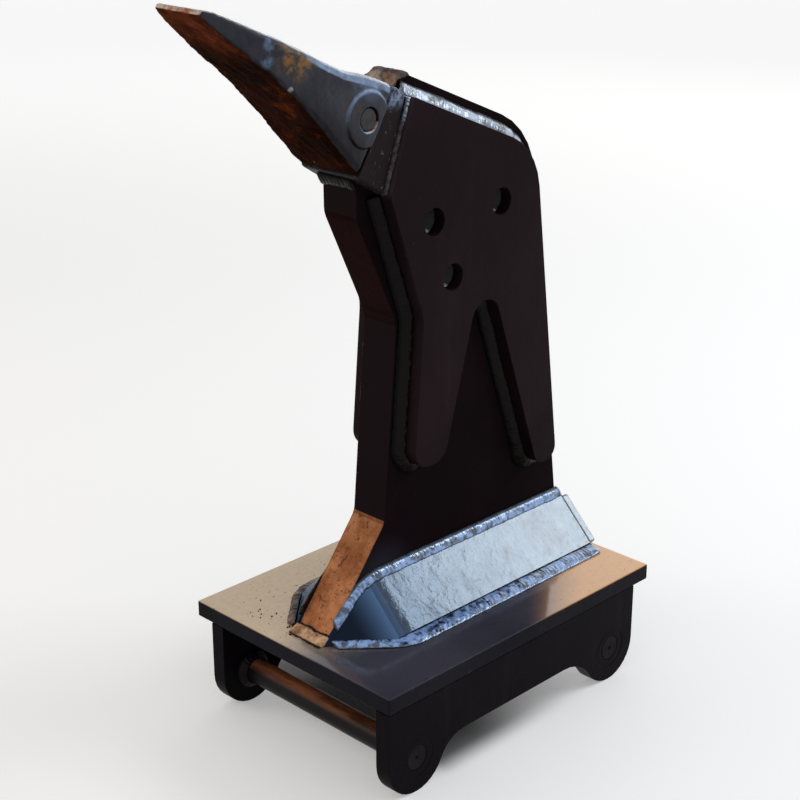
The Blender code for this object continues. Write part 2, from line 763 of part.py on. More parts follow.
SLOPE = math.sqrt(0.5)
GUSSET_TOP_REACH = CORE_HALF + GAP + GUSSET_THICKNESS * SLOPE
GUSSET_LEVEL = GUSSET_TOP_REACH + GUSSET_FACE_WIDTH * SLOPE + GUSSET_THICKNESS * SLOPE + GAP


def gusset_profile():
    """(y, drop, turn in degrees) along the plate, from its rear end to the end of its bent front."""
    stations = [(GUSSET_REAR_Y, 0.0, 0.0), (GUSSET_BEND_Y, 0.0, 0.0)]
    steps = 5
    for i in range(1, steps + 1):
        turn = math.radians(GUSSET_BEND_DEG * i / steps)
        y = GUSSET_BEND_Y - GUSSET_BEND_RADIUS * math.sin(turn)
        drop = GUSSET_BEND_RADIUS * (1 - math.cos(turn))
        stations.append((y, drop, math.degrees(turn)))
    y, drop, turn = stations[-1]
    end = FOOT_FRONT_Y + GUSSET_FRONT_SET_IN
    stations.append((end, drop + (y - end) * math.tan(math.radians(turn)), turn))
    return stations


def gusset_station(past_end):
    """The last station of the bent front, moved by past_end beyond the shank's front corner."""
    y, drop, turn = gusset_profile()[-1]
    return (y - past_end, drop + past_end * math.tan(math.radians(turn)), turn)


def slope_normal(turn_deg):
    """The outer face's normal where the plate has turned by turn_deg about its bend."""
    turn = math.radians(turn_deg)
    return Vector((SLOPE * math.cos(turn), -math.sin(turn), SLOPE * math.cos(turn)))


def gusset_plate_sections(grow, past_rear=False):
    """Rings across the plate along its length, grown on every side by the given clearance."""
    top = GUSSET_TOP_REACH
    along_slope = Vector((SLOPE, 0.0, -SLOPE))
    upper = Vector((top, 0.0, GUSSET_LEVEL - top)) - along_slope * grow
    lower = upper + along_slope * (GUSSET_FACE_WIDTH + 2 * grow)
    y, _, turn = gusset_profile()[0]
    rear = y + grow + (GUSSET_OVERRUN if past_rear else 0.0)
    stations = [(rear, 0.0, turn), *gusset_profile()[1:-1], gusset_station(GUSSET_OVERRUN)]
    sections = []
    for y, drop, turn in stations:
        normal = slope_normal(turn)
        outer = Vector((0.0, y, 0.0)) - Vector((SLOPE, 0.0, SLOPE)) * drop + normal * grow
        depth = normal * (GUSSET_THICKNESS + 2 * grow)
        sections.append([upper + outer, lower + outer, lower + outer - depth, upper + outer - depth])
    return sections


def make_gusset_plates(frame):
    """Each plate is trimmed by the shank's face and the base plate, as its bent front runs down."""
    reach = CUTTER_REACH
    low = (CORE_HALF + GAP, FOOT_FRONT_Y - reach, GAP)
    high = (GUSSET_LEVEL + reach, GUSSET_REAR_Y + reach, GUSSET_LEVEL + reach)
    for name, side in sides():
        mesh = loft("gusset_plate_" + name, on_side(gusset_plate_sections(0.0), side))
        plate = add_part("gusset_plate_" + name, mesh, "black_paint", frame)
        corners = sorted((side * low[0], side * high[0]))
        trim = box_mesh("gusset_trim_" + name, (corners[0], *low[1:]), (corners[1], *high[1:]))
        boolean(plate, add_cutter("gusset_trim_" + name, trim, frame), "INTERSECT")


def make_gusset_ends(frame):
    """Plates that close the space under each gusset plate, across its rear end."""
    upper_x = GUSSET_TOP_REACH
    lower_x = GUSSET_TOP_REACH + GUSSET_FACE_WIDTH * SLOPE
    inner_x = CORE_HALF + GAP
    level = GUSSET_LEVEL
    corners = (
        (inner_x, GAP),
        (2 * lower_x - level + GAP, GAP),
        (lower_x, level - lower_x),
        (upper_x, level - upper_x),
        (inner_x, level - 2 * upper_x + inner_x),
    )
    front = GUSSET_REAR_Y + GAP
    for name, side in sides():
        sections = []
        for y in (front, front + GUSSET_THICKNESS):
            sections.append([Vector((side * x, y, z)) for x, z in corners])
        mesh = loft("gusset_end_" + name, sections, smooth_faces=False)
        end_plate = add_part("gusset_end_" + name, mesh, "black_paint", frame)
        bevel(end_plate, GUSSET_END_EDGE_RADIUS, 2, 60.0)


def gusset_bead_stations(past_end):
    """Stations for a bead that ends past_end beyond the plate's front corner, and part way over
    its rear plate. Each is (y, drop, size), where size tapers the bead at its rear end."""
    front = [(y, drop, 1.0) for y, drop, _ in (*gusset_profile()[1:-1], gusset_station(past_end))]
    rear = GUSSET_REAR_Y + GUSSET_THICKNESS * 0.6
    taper = ((0.0, 0.35), (0.35, 0.7), (1.0, 1.0))
    return [*((rear - GUSSET_WELD_TAPER * run, 0.0, size) for run, size in taper), *front]


def gusset_top_sections():
    """The bead along the shank: it fills the step above the plate's upper edge."""
    x = CORE_HALF + GAP
    step_height = GUSSET_LEVEL - 2 * GUSSET_TOP_REACH + x
    sections = []
    for y, drop, size in gusset_bead_stations(-GUSSET_WELD_STOP):
        level = GUSSET_LEVEL - drop / SLOPE
        blend = min(1.0, drop / GUSSET_THICKNESS)
        rise = GUSSET_WELD_TOP_LEG + (GUSSET_WELD_FRONT_LEG - GUSSET_WELD_TOP_LEG) * blend
        reach = GUSSET_WELD_FACE_LEG + (GUSSET_WELD_FRONT_LEG - GUSSET_WELD_FACE_LEG) * blend
        root = Vector((x, y, min(step_height + GAP * 3, level - x)))
        toe_one = Vector((x, y, level - x + rise))
        toe_two = Vector((x + reach * SLOPE, y, level - x - reach * SLOPE + GAP * 2))
        toe_one = root.lerp(toe_one, size)
        toe_two = root.lerp(toe_two, size)
        sections.append(bead_section(root, toe_one, toe_two, GUSSET_WELD_BULGE * size))
    return sections


def gusset_bottom_sections():
    """The bead along the base plate: it leaves the upper half of the plate's lower edge bare."""
    edge_x = GUSSET_TOP_REACH + GUSSET_FACE_WIDTH * SLOPE
    edge_z = GUSSET_LEVEL - edge_x
    sections = []
    for y, drop, size in gusset_bead_stations(0.0):
        level = GUSSET_LEVEL - drop / SLOPE
        root = Vector((min(edge_x - edge_z + GAP * 3, level), y, GAP))
        toe_one = Vector((level + GUSSET_WELD_FOOT_LEG * size, y, GAP))
        bare = edge_z - drop * SLOPE
        if drop < GUSSET_THICKNESS * 0.5:
            rise = (bare - GUSSET_BARE_EDGE) * size
            toe_two = root + Vector((rise, 0.0, rise))
        else:
            reach = GUSSET_WELD_FRONT_LEG * SLOPE
            toe_two = Vector((level - reach + GAP * 2, y, reach))
        sections.append(bead_section(root, toe_one, toe_two, GUSSET_WELD_BULGE * size))
    return sections


def gusset_rear_sections():
    """The upright bead between the back of the shank's foot and the closing plate's inner side."""
    back_normal = Vector((0.0, BACK_DIRECTION.y, -BACK_DIRECTION.x))
    side_normal = Vector((-1.0, 0.0, 0.0))
    top = GUSSET_LEVEL - GUSSET_TOP_REACH - GUSSET_THICKNESS
    sections = []
    for share in (0.0, 0.35, 0.7, 1.0):
        z = FOOT_REAR_WELD_LEG * 0.5 + (top - FOOT_REAR_WELD_LEG * 0.5) * share
        y = FOOT_REAR_Y - z * math.tan(math.radians(BACK_LEAN_DEG))
        corner = Vector((CORE_HALF + GAP, y, z))
        sections.append(fillet_section(corner, back_normal, side_normal, REAR_WELD_LEG, REAR_WELD_LEG))
    return sections


def make_gusset_welds(frame):
    for name, side in sides():
        plate = loft("gusset_clearance_" + name, on_side(gusset_plate_sections(GAP, True), side))
        clearance = add_cutter("gusset_clearance_" + name, plate, frame)
        for place, sections in (("top", gusset_top_sections()), ("bottom", gusset_bottom_sections())):
            label = f"gusset_{place}_weld_{name}"
            bead = add_part(label, loft(label, on_side(sections, side)), "painted_weld", frame)
            boolean(bead, clearance)
        rear = loft("gusset_rear_weld_" + name, on_side(gusset_rear_sections(), side))
        add_part("gusset_rear_weld_" + name, rear, "painted_weld", frame)


def make_foot_welds(frame):
    core = core_corners()
    foot, flare = core["foot_front"][0], core["flare"][0]
    up_front = (flare - foot).normalized()
    up = Vector((0.0, 0.0, 1.0))
    back_up = BACK_DIRECTION
    rear_half = CORE_HALF - REAR_WELD_LEG
    welds = (
        ("foot_weld_front", foot.x, Vector((0.0, -up_front.y, up_front.x)), FOOT_WELD_LEG, CORE_HALF),
        ("foot_weld_rear", FOOT_REAR_Y, Vector((0.0, back_up.y, -back_up.x)), FOOT_REAR_WELD_LEG, rear_half),
    )
    for name, y, facing, leg, half in welds:
        sections = []
        for share in (-1.0, -0.5, 0.0, 0.5, 1.0):
            corner = Vector((half * share, y, 0.0))
            sections.append(fillet_section(corner, up, facing, leg, leg * 0.8))
        mesh = loft(name, sections)
        add_part(name, mesh, "rusty_weld" if name.endswith("front") else "painted_weld", frame)


# Tooth and adapter


def frustum(name, root_y, root_half, root_low, root_high, tip_y, tip_half, tip_low, tip_high):
    work = bmesh.new()
    bmesh.ops.create_cube(work, size=2.0)
    for vert in work.verts:
        at_tip = vert.co.y < 0.0
        half = tip_half if at_tip else root_half
        low, high = (tip_low, tip_high) if at_tip else (root_low, root_high)
        vert.co = Vector((vert.co.x * half, tip_y if at_tip else root_y, high if vert.co.z > 0.0 else low))
    return finish_mesh(name, work)


def nose_mesh(name, grow, start):
    """The adapter's nose, or the tooth's socket round it: grow is the socket's clearance."""
    shoulder = TOOTH_REAR + TOOTH_GAP
    slope = (shoulder - start) / (shoulder + NOSE_LENGTH)
    half = NOSE_ROOT_HALF_WIDTH + (NOSE_ROOT_HALF_WIDTH - NOSE_TIP_HALF_WIDTH) * -slope
    low = NOSE_ROOT_LOW + (NOSE_ROOT_LOW - NOSE_TIP_LOW) * -slope
    high = NOSE_ROOT_HIGH + (NOSE_ROOT_HIGH - NOSE_TIP_HIGH) * -slope
    return frustum(
        name,
        start,
        half + grow,
        low - grow,
        high + grow,
        -NOSE_LENGTH - grow * 2,
        NOSE_TIP_HALF_WIDTH + grow,
        NOSE_TIP_LOW - grow,
        NOSE_TIP_HIGH + grow,
    )


def make_adapter(tooth_frame):
    shoulder = TOOTH_REAR + TOOTH_GAP
    rear_low = ADAPTER_LEG_LOW - ADAPTER_WELD_GAP
    rear_high = ADAPTER_LEG_HIGH - ADAPTER_WELD_GAP
    outline = [
        Vector((shoulder, ADAPTER_UNDERSIDE)),
        Vector((shoulder, ADAPTER_TOP)),
        Vector((rear_high, ADAPTER_TOP)),
        Vector((rear_low, ADAPTER_UNDERSIDE)),
    ]
    curve = plate_curve("adapter", outline, 2 * ADAPTER_HALF_WIDTH)
    mesh = plate_mesh("adapter", curve)
    adapter = add_part("adapter", mesh, "adapter_steel", tooth_frame, rotation=SIDE_ON)
    bevel(adapter, ADAPTER_EDGE_RADIUS, 2)
    nose = add_cutter("adapter_nose", nose_mesh("adapter_nose", 0.0, shoulder + NOSE_RUN_IN), tooth_frame)
    bevel(nose, ADAPTER_EDGE_RADIUS, 2)
    boolean(adapter, nose, "UNION")
    slot_half = CORE_HALF + GAP
    slot_low = (-slot_half, CORE_NOSE_SETBACK - GAP, ADAPTER_UNDERSIDE - CUTTER_REACH)
    slot_high = (slot_half, rear_low + CUTTER_REACH, ADAPTER_TOP + CUTTER_REACH)
    slot = box_mesh("adapter_slot", slot_low, slot_high)
    boolean(adapter, add_cutter("adapter_slot", slot, tooth_frame))
    bore = rod_mesh("adapter_bore", TOOTH_PIN_RADIUS + TOOTH_PIN_CLEARANCE, CUTTER_REACH, PIN_SIDES)
    boolean(adapter, add_cutter("adapter_bore", bore, tooth_frame))
    recess = rod_mesh("retainer_recess", RETAINER_OUTER_RADIUS + GAP, CUTTER_REACH, PIN_SIDES)
    floor = NOSE_ROOT_HALF_WIDTH - RETAINER_RECESS_DEPTH
    place = (-floor - CUTTER_REACH, 0.0, 0.0)
    boolean(adapter, add_cutter("retainer_recess", recess, tooth_frame, place))


def tooth_ring(y, half, low, high, corner):
    """A rounded rectangle across the tooth, with three points on each corner."""
    ring = []
    spots = ((1, high, 0.0), (-1, high, 90.0), (-1, low, 180.0), (1, low, 270.0))
    for side, edge, start in spots:
        inward = -1 if edge == high else 1
        centre = Vector((side * (half - corner), 0.0, edge + inward * corner))
        for turn in (0.0, 45.0, 90.0):
            angle = math.radians(start + turn)
            ring.append(Vector((centre.x + corner * math.cos(angle), y, centre.z + corner * math.sin(angle))))
    return ring


def make_tooth(tooth_frame):
    sections = []
    for share, half, low, high, corner in TOOTH_SECTIONS:
        sections.append(tooth_ring(-TOOTH_LENGTH * (1 - share), half, low, high, corner))
    rear = (TOOTH_REAR, TOOTH_REAR_HALF_WIDTH, TOOTH_REAR_LOW, TOOTH_REAR_HIGH, TOOTH_REAR_CORNER)
    sections.append(tooth_ring(*rear))
    mesh = loft("tooth", sections)
    tooth = add_part("tooth", mesh, "tooth_steel", tooth_frame)
    round_boss = rod_mesh("tooth_boss", BOSS_RADIUS, BOSS_HALF_WIDTH, BOSS_SIDES)
    boss = add_cutter("tooth_boss", round_boss, tooth_frame)
    bevel(boss, BOSS_EDGE_RADIUS, 2)
    boolean(tooth, boss, "UNION")
    reach = CUTTER_REACH
    trim_from = TOOTH_REAR - TOOTH_REAR_TRIM
    trim = box_mesh("tooth_rear_trim", (-reach, trim_from, -reach), (reach, trim_from + reach, reach))
    boolean(tooth, add_cutter("tooth_rear_trim", trim, tooth_frame))
    socket = nose_mesh("tooth_socket", SOCKET_CLEARANCE, TOOTH_REAR + NOSE_RUN_IN)
    boolean(tooth, add_cutter("tooth_socket", socket, tooth_frame))
    bore = rod_mesh("tooth_bore", TOOTH_PIN_RADIUS + TOOTH_PIN_CLEARANCE, CUTTER_REACH, PIN_SIDES)
    boolean(tooth, add_cutter("tooth_bore", bore, tooth_frame))
    make_lift_hole(tooth, tooth_frame)


def make_lift_hole(tooth, tooth_frame):
    """The small blind hole in the tooth's lower face."""
    work = bmesh.new()
    bmesh.ops.create_cone(
        work,
        cap_ends=True,
        segments=12,
        radius1=LIFT_HOLE_RADIUS,
        radius2=LIFT_HOLE_RADIUS,
        depth=LIFT_HOLE_DEPTH * 2,
    )
    mesh = finish_mesh("lift_hole", work)
    share = 1 - LIFT_HOLE_Y / TOOTH_LENGTH
    low = TOOTH_SECTIONS[-1][2] * share
    place = (LIFT_HOLE_X, -LIFT_HOLE_Y, low)
    boolean(tooth, add_cutter("lift_hole", mesh, tooth_frame, place))


def make_tooth_pin(tooth_frame):
    half = TOOTH_PIN_HALF_LENGTH
    chamfer = TOOTH_PIN_CHAMFER
    profile = (
        (half, 0.0),
        (half, TOOTH_PIN_RADIUS - chamfer),
        (half - chamfer, TOOTH_PIN_RADIUS),
        (chamfer - half, TOOTH_PIN_RADIUS),
        (-half, TOOTH_PIN_RADIUS - chamfer),
        (-half, 0.0),
    )
    turned_part("tooth_pin", profile, "pin_steel", tooth_frame, (0.0, 0.0, 0.0), 1, PIN_SIDES)
    inner = TOOTH_PIN_RADIUS + GAP
    thick = RETAINER_THICKNESS / 2
    ring = (
        (thick, inner),
        (thick, RETAINER_OUTER_RADIUS),
        (-thick, RETAINER_OUTER_RADIUS),
        (-thick, inner),
    )
    floor = NOSE_ROOT_HALF_WIDTH - RETAINER_RECESS_DEPTH
    centre = (-floor - GAP - thick, 0.0, 0.0)
    turned_part("tooth_retainer", ring, "pin_steel", tooth_frame, centre, 1, PIN_SIDES)


def make_adapter_welds(frame):
    cheek_low = tooth_point(ADAPTER_LEG_LOW, ADAPTER_UNDERSIDE)
    cheek_high = tooth_point(ADAPTER_LEG_HIGH, ADAPTER_TOP)
    along = (cheek_high - cheek_low).normalized()
    forward = Vector((-along.y, along.x))
    back = ADAPTER_WELD_GAP * TOOTH_BACKWARD.dot(-forward)
    length = (cheek_high - cheek_low).length
    for name, side in sides():
        sections = []
        for share in (0.01, 0.35, 0.7, 0.99):
            spot = cheek_low + along * (length * share)
            near = spot + forward * GAP * 1.5
            far = spot + forward * (back - GAP * 1.5)
            lower = CORE_HALF + GAP
            upper = ADAPTER_HALF_WIDTH - ADAPTER_EDGE_RADIUS
            ring = [
                Vector((lower, *near)),
                Vector((lower, *far)),
                Vector((upper, *far)),
                Vector((upper + ADAPTER_WELD_PROUD * 0.8, *(spot + forward * (back * 0.7)))),
                Vector((upper + ADAPTER_WELD_PROUD, *(spot + forward * (back * 0.35)))),
                Vector((upper + ADAPTER_WELD_PROUD * 0.55, *near)),
            ]
            sections.append(ring)
        mesh = loft("adapter_side_weld_" + name, on_side(sections, side))
        add_part("adapter_side_weld_" + name, mesh, "painted_weld", frame)
    make_adapter_end_welds(frame)


def top_weld_section(x, core, crown):
    """The heavy bead's cut: from the adapter's top, over the shank's bevelled nose."""
    prep, high = core["nose_prep"][0], core["nose_high"][0]
    forward = -TOOTH_BACKWARD
    slope = (high - prep).normalized()
    off_slope = Vector((-slope.y, slope.x))
    between = (off_slope + forward) / (1 + off_slope.dot(forward))
    root = tooth_point(CORE_NOSE_SETBACK - GAP, ADAPTER_TOP + GAP)
    points = (
        root,
        root + forward * ADAPTER_TOP_WELD_TOE,
        (root + prep) / 2 + forward * ADAPTER_TOP_WELD_TOE,
        prep + between * crown * 0.7,
        prep.lerp(high, 0.45) + off_slope * crown,
        prep.lerp(high, 0.85) + off_slope * crown * 0.65,
        high + off_slope * GAP,
        prep + between * GAP,
    )
    return [Vector((x, *point)) for point in points]


def make_adapter_end_welds(frame):
    """The fillet under the adapter, and the heavy bead from its top onto the shank's nose."""
    core = core_corners()
    nose_low, throat = core["nose_low"][0], core["throat"][0]
    direction = (nose_low - throat).normalized()
    front_normal = Vector((0.0, -direction.y, direction.x))
    under_normal = Vector((0.0, *(-TOOTH_UP)))
    leg = ADAPTER_BOTTOM_WELD_LEG
    ends = [Vector((x, *nose_low)) for x in (-CORE_HALF, CORE_HALF)]
    under = [fillet_section(end, front_normal, under_normal, leg, leg) for end in ends]
    over = []
    for share, size in ((-0.74, 0.8), (-0.6, 1.35), (-0.2, 1.15), (0.2, 1.3), (0.6, 1.05), (1.0, 0.7)):
        over.append(top_weld_section(CORE_HALF * share, core, ADAPTER_TOP_WELD_CROWN * size))
    mesh = loft("adapter_bottom_weld", under)
    add_part("adapter_bottom_weld", mesh, "painted_weld", frame)
    mesh = loft("adapter_top_weld", over)
    add_part("adapter_top_weld", mesh, "rusty_weld", frame)


def frame_shift():
    """How far the base plate's middle lies behind the middle of the whole ripper."""
    _, _, low, high, _ = TOOTH_SECTIONS[0]
    tip = min(tooth_point(-TOOTH_LENGTH, edge).x for edge in (low, high))
    return -(tip + PLATE_LENGTH / 2) / 2


def main():
    clear_scene()
    frame = add_empty("ripper_frame", (0.0, frame_shift(), PLATE_TOP))
    tooth_place = (0.0, TOOTH_PIN_Y, TOOTH_PIN_HEIGHT)
    tooth_frame = add_empty("tooth_frame", tooth_place, (-TOOTH_ANGLE, 0.0, 0.0), frame)
    make_base_plate(frame)
    make_ears(frame)
    make_bars(frame)
    make_bar_welds(frame)
    make_ear_welds(frame)
    make_shank(frame)
    make_plug_welds(frame)
    make_cheek_welds(frame)
    make_gusset_plates(frame)
    make_gusset_ends(frame)
    make_gusset_welds(frame)
    make_foot_welds(frame)
    make_adapter(tooth_frame)
    make_tooth(tooth_frame)
    make_tooth_pin(tooth_frame)
    make_adapter_welds(frame)
    bpy.context.view_layer.update()


main()
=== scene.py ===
"""Visual model of the excavator ripper: finishes, weld beads, tooth, spatter, camera and light."""
import bmesh
import bpy
import math
import random
import numpy as np
from mathutils import Matrix, Vector


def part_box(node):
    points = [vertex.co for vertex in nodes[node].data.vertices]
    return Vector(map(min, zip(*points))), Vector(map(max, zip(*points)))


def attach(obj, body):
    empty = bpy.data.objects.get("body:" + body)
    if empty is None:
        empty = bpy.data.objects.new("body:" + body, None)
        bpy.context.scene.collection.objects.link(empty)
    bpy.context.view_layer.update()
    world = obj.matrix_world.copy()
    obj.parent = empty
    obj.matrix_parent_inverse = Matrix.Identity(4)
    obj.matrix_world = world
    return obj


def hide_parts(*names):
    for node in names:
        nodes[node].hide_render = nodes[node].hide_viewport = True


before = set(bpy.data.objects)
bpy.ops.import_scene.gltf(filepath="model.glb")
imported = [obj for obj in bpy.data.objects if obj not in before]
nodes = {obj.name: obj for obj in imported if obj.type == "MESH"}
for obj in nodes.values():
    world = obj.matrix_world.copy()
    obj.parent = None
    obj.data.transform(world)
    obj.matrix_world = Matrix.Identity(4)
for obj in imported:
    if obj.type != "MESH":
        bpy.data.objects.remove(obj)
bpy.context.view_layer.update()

# Where the CAD frame's origin, the middle of the base plate's top, stands in the row frame.
PLATE_TOP = 0.133
SHIFT_Y = 0.05775

# Half the base plate's size, half the shank's thickness, and the rim that wears first.
HALF_WIDTH, HALF_LENGTH = 0.160, 0.225
HALF_SHANK = 0.025
RIM = 0.005

# Heights over the base plate from where the cheek plates' and the adapter's welds are glossy and carry a
# painted pale sheen.
CHEEK_SHEEN_HEIGHT = 0.512
ADAPTER_SHEEN_HEIGHT = 0.580

# Where the tooth's cross pin crosses the middle plane: (y, z)
PIN_PLACE = (-0.0833, 0.723)

# The way the tooth's underside faces, and the way its tip points.
TOOTH_DOWN = (0.0, -0.70, -0.71)
TOOTH_AHEAD = (0.0, -0.85, 0.53)

# Points of one mesh that are closer than this are joined.
MERGE = 0.00001

# The painted shade in the seams along a weld bead's edges, as a share of half the bead's width.
SEAM_SHADE_WIDTH = 0.24


def spot(x, y, z):
    """A place in the CAD frame, in the row frame."""
    return Vector((x, y + SHIFT_Y, z + PLATE_TOP))


# Node trees


class Graph:
    """A small helper for building one material's node tree."""

    def __init__(self, material):
        material.use_nodes = True
        self.tree = material.node_tree
        self.nodes = self.tree.nodes
        self.links = self.tree.links
        self.shader = self.nodes["Principled BSDF"]
        self.place = self.nodes.new("ShaderNodeTexCoord").outputs["Object"]
        self.x, self.y, self.z = self.split(self.place)

    def split(self, vector):
        node = self.nodes.new("ShaderNodeSeparateXYZ")
        self.links.new(vector, node.inputs[0])
        return node.outputs

    def put(self, socket, value):
        if isinstance(value, bpy.types.NodeSocket):
            self.links.new(value, socket)
        else:
            socket.default_value = value

    def math(self, how, a, b=0.0):
        node = self.nodes.new("ShaderNodeMath")
        node.operation = how
        self.put(node.inputs[0], a)
        self.put(node.inputs[1], b)
        return node.outputs[0]

    def fold(self, how, values):
        total = values[0]
        for value in values[1:]:
            total = self.math(how, total, value)
        return total

    def add(self, *values):
        return self.fold("ADD", values)

    def times(self, *values):
        return self.fold("MULTIPLY", values)

    def most(self, *values):
        return self.fold("MAXIMUM", values)

    def flip(self, a):
        return self.math("SUBTRACT", 1.0, a)

    def span(self, value, low, high, out_low=0.0, out_high=1.0):
        """value from low..high to out_low..out_high, held at both ends."""
        node = self.nodes.new("ShaderNodeMapRange")
        node.interpolation_type = "SMOOTHSTEP"
        for socket, entry in zip(node.inputs, (value, low, high, out_low, out_high)):
            self.put(socket, entry)
        return node.outputs[0]

    def stretched(self, scale):
        """The place for a noise that is stretched out where the scale is under 1."""
        node = self.nodes.new("ShaderNodeMapping")
        self.links.new(self.place, node.inputs["Vector"])
        node.inputs["Scale"].default_value = scale
        return node.outputs[0]

    def noise(self, scale, detail=4.0, rough=0.55, where=None, seed=0.0):
        node = self.nodes.new("ShaderNodeTexNoise")
        node.noise_dimensions = "4D"
        node.inputs["W"].default_value = seed
        self.put(node.inputs["Vector"], self.place if where is None else where)
        node.inputs["Scale"].default_value = scale
        node.inputs["Detail"].default_value = detail
        node.inputs["Roughness"].default_value = rough
        return node.outputs["Fac"]

    def cells(self, scale):
        node = self.nodes.new("ShaderNodeTexVoronoi")
        self.put(node.inputs["Vector"], self.place)
        node.inputs["Scale"].default_value = scale
        return node.outputs["Distance"]

    def stored(self, name):
        """A value stored on the mesh's points, 0 where there is none."""
        node = self.nodes.new("ShaderNodeAttribute")
        node.attribute_name = name
        return node.outputs["Fac"]

    def mix(self, factor, a, b):
        node = self.nodes.new("ShaderNodeMix")
        node.data_type = "RGBA"
        self.put(node.inputs[0], factor)
        self.put(node.inputs[6], a)
        self.put(node.inputs[7], b)
        return node.outputs[2]

    def bump(self, height, distance):
        node = self.nodes.new("ShaderNodeBump")
        node.inputs["Distance"].default_value = distance
        self.put(node.inputs["Height"], height)
        return node.outputs[0]

    def facing(self, kind="True Normal"):
        """The x, y and z of the flat normal, or of the smooth one where kind is Normal."""
        return self.split(self.nodes.new("ShaderNodeNewGeometry").outputs[kind])

    def toward(self, vector, way):
        """How far a vector reaches along a way."""
        return self.add(*(self.times(part, share) for part, share in zip(vector, way)))

    def near(self, x, y, z, inner, outer):
        """1 within inner of a place, 0 beyond outer. A None coordinate isn't counted."""
        total = None
        for value, middle in ((self.x, x), (self.y, y), (self.z, z)):
            if middle is not None:
                gap = self.math("SUBTRACT", value, middle)
                square = self.times(gap, gap)
                total = square if total is None else self.add(total, square)
        return self.span(self.math("SQRT", total), inner, outer, 1.0, 0.0)

    def set(self, colour, rough, normal=None):
        """The shader's colour, roughness and normal."""
        self.put(self.shader.inputs["Base Color"], colour)
        self.put(self.shader.inputs["Roughness"], rough)
        if normal is not None:
            self.put(self.shader.inputs["Normal"], normal)


def rgb(r, g, b):
    """A colour given in screen values of 0 to 255."""
    linear = []
    for c in (r / 255, g / 255, b / 255):
        linear.append(c / 12.92 if c < 0.0405 else ((c + 0.055) / 1.055) ** 2.4)
    return (*linear, 1.0)


def new_material(name, spec, metal=0.0, coat_rough=0.1):
    """A material and its graph. A finish with a coat links the coat's weight itself."""
    material = bpy.data.materials.new(name)
    g = Graph(material)
    g.shader.inputs["Specular IOR Level"].default_value = spec
    g.shader.inputs["Metallic"].default_value = metal
    g.shader.inputs["Coat Roughness"].default_value = coat_rough
    return material, g


# Finishes


def worn_paint(g, tone, second, chips=0.0):
    """Paint that varies in tone, with dust specks, and small chips where chips is over 0."""
    broad = g.noise(6.0, 3.0, 0.5)
    dust = g.noise(24.0, 6.0, 0.65, seed=5.0)
    base = g.mix(g.span(broad, 0.35, 0.65), tone, second)
    specks = g.times(g.span(g.cells(150.0), 0.05, 0.12, 1.0, 0.0), g.span(dust, 0.54, 0.66))
    base = g.mix(g.times(specks, 0.45), base, rgb(92, 80, 74))
    flakes = g.span(g.noise(90.0, 5.0, 0.7, seed=3.0), 0.60, 0.63)
    base = g.mix(g.times(flakes, chips), base, rgb(150, 132, 118))
    return base, dust


def plate_paint(name, tone, second, dull=0.36, spec=0.03):
    """Black paint on the upright plates: soft gloss, faint run marks, dust and specks. dull is
    about its roughness. Its front edges beside the adapter are lightened with painted light, where they lie
    in shade."""
    material, g = new_material(name, spec)
    base, dust = worn_paint(g, rgb(*tone), rgb(*second))
    runs = g.noise(30.0, 3.0, 0.5, where=g.stretched((1.0, 1.0, 0.12)), seed=7.0)
    base = g.mix(g.span(runs, 0.55, 0.75, 0.0, 0.3), base, rgb(46, 34, 36))
    # Painted light: the forward faces beside the adapter are paler, where they lie in shade
    ahead = g.span(g.facing()[1], -0.9, -0.6, 1.0, 0.0)
    painted_light_by_adapter = g.span(g.z, PLATE_TOP + 0.500, PLATE_TOP + CHEEK_SHEEN_HEIGHT)
    base = g.mix(g.times(ahead, painted_light_by_adapter), base, rgb(66, 54, 60))
    rough = g.add(g.span(dust, 0.3, 0.7, dull - 0.07, dull + 0.1), g.span(runs, 0.3, 0.7, 0.0, 0.06))
    peel = g.noise(60.0, 2.0, 0.5, seed=9.0)
    g.set(base, rough, g.bump(peel, 0.0004))
    return material


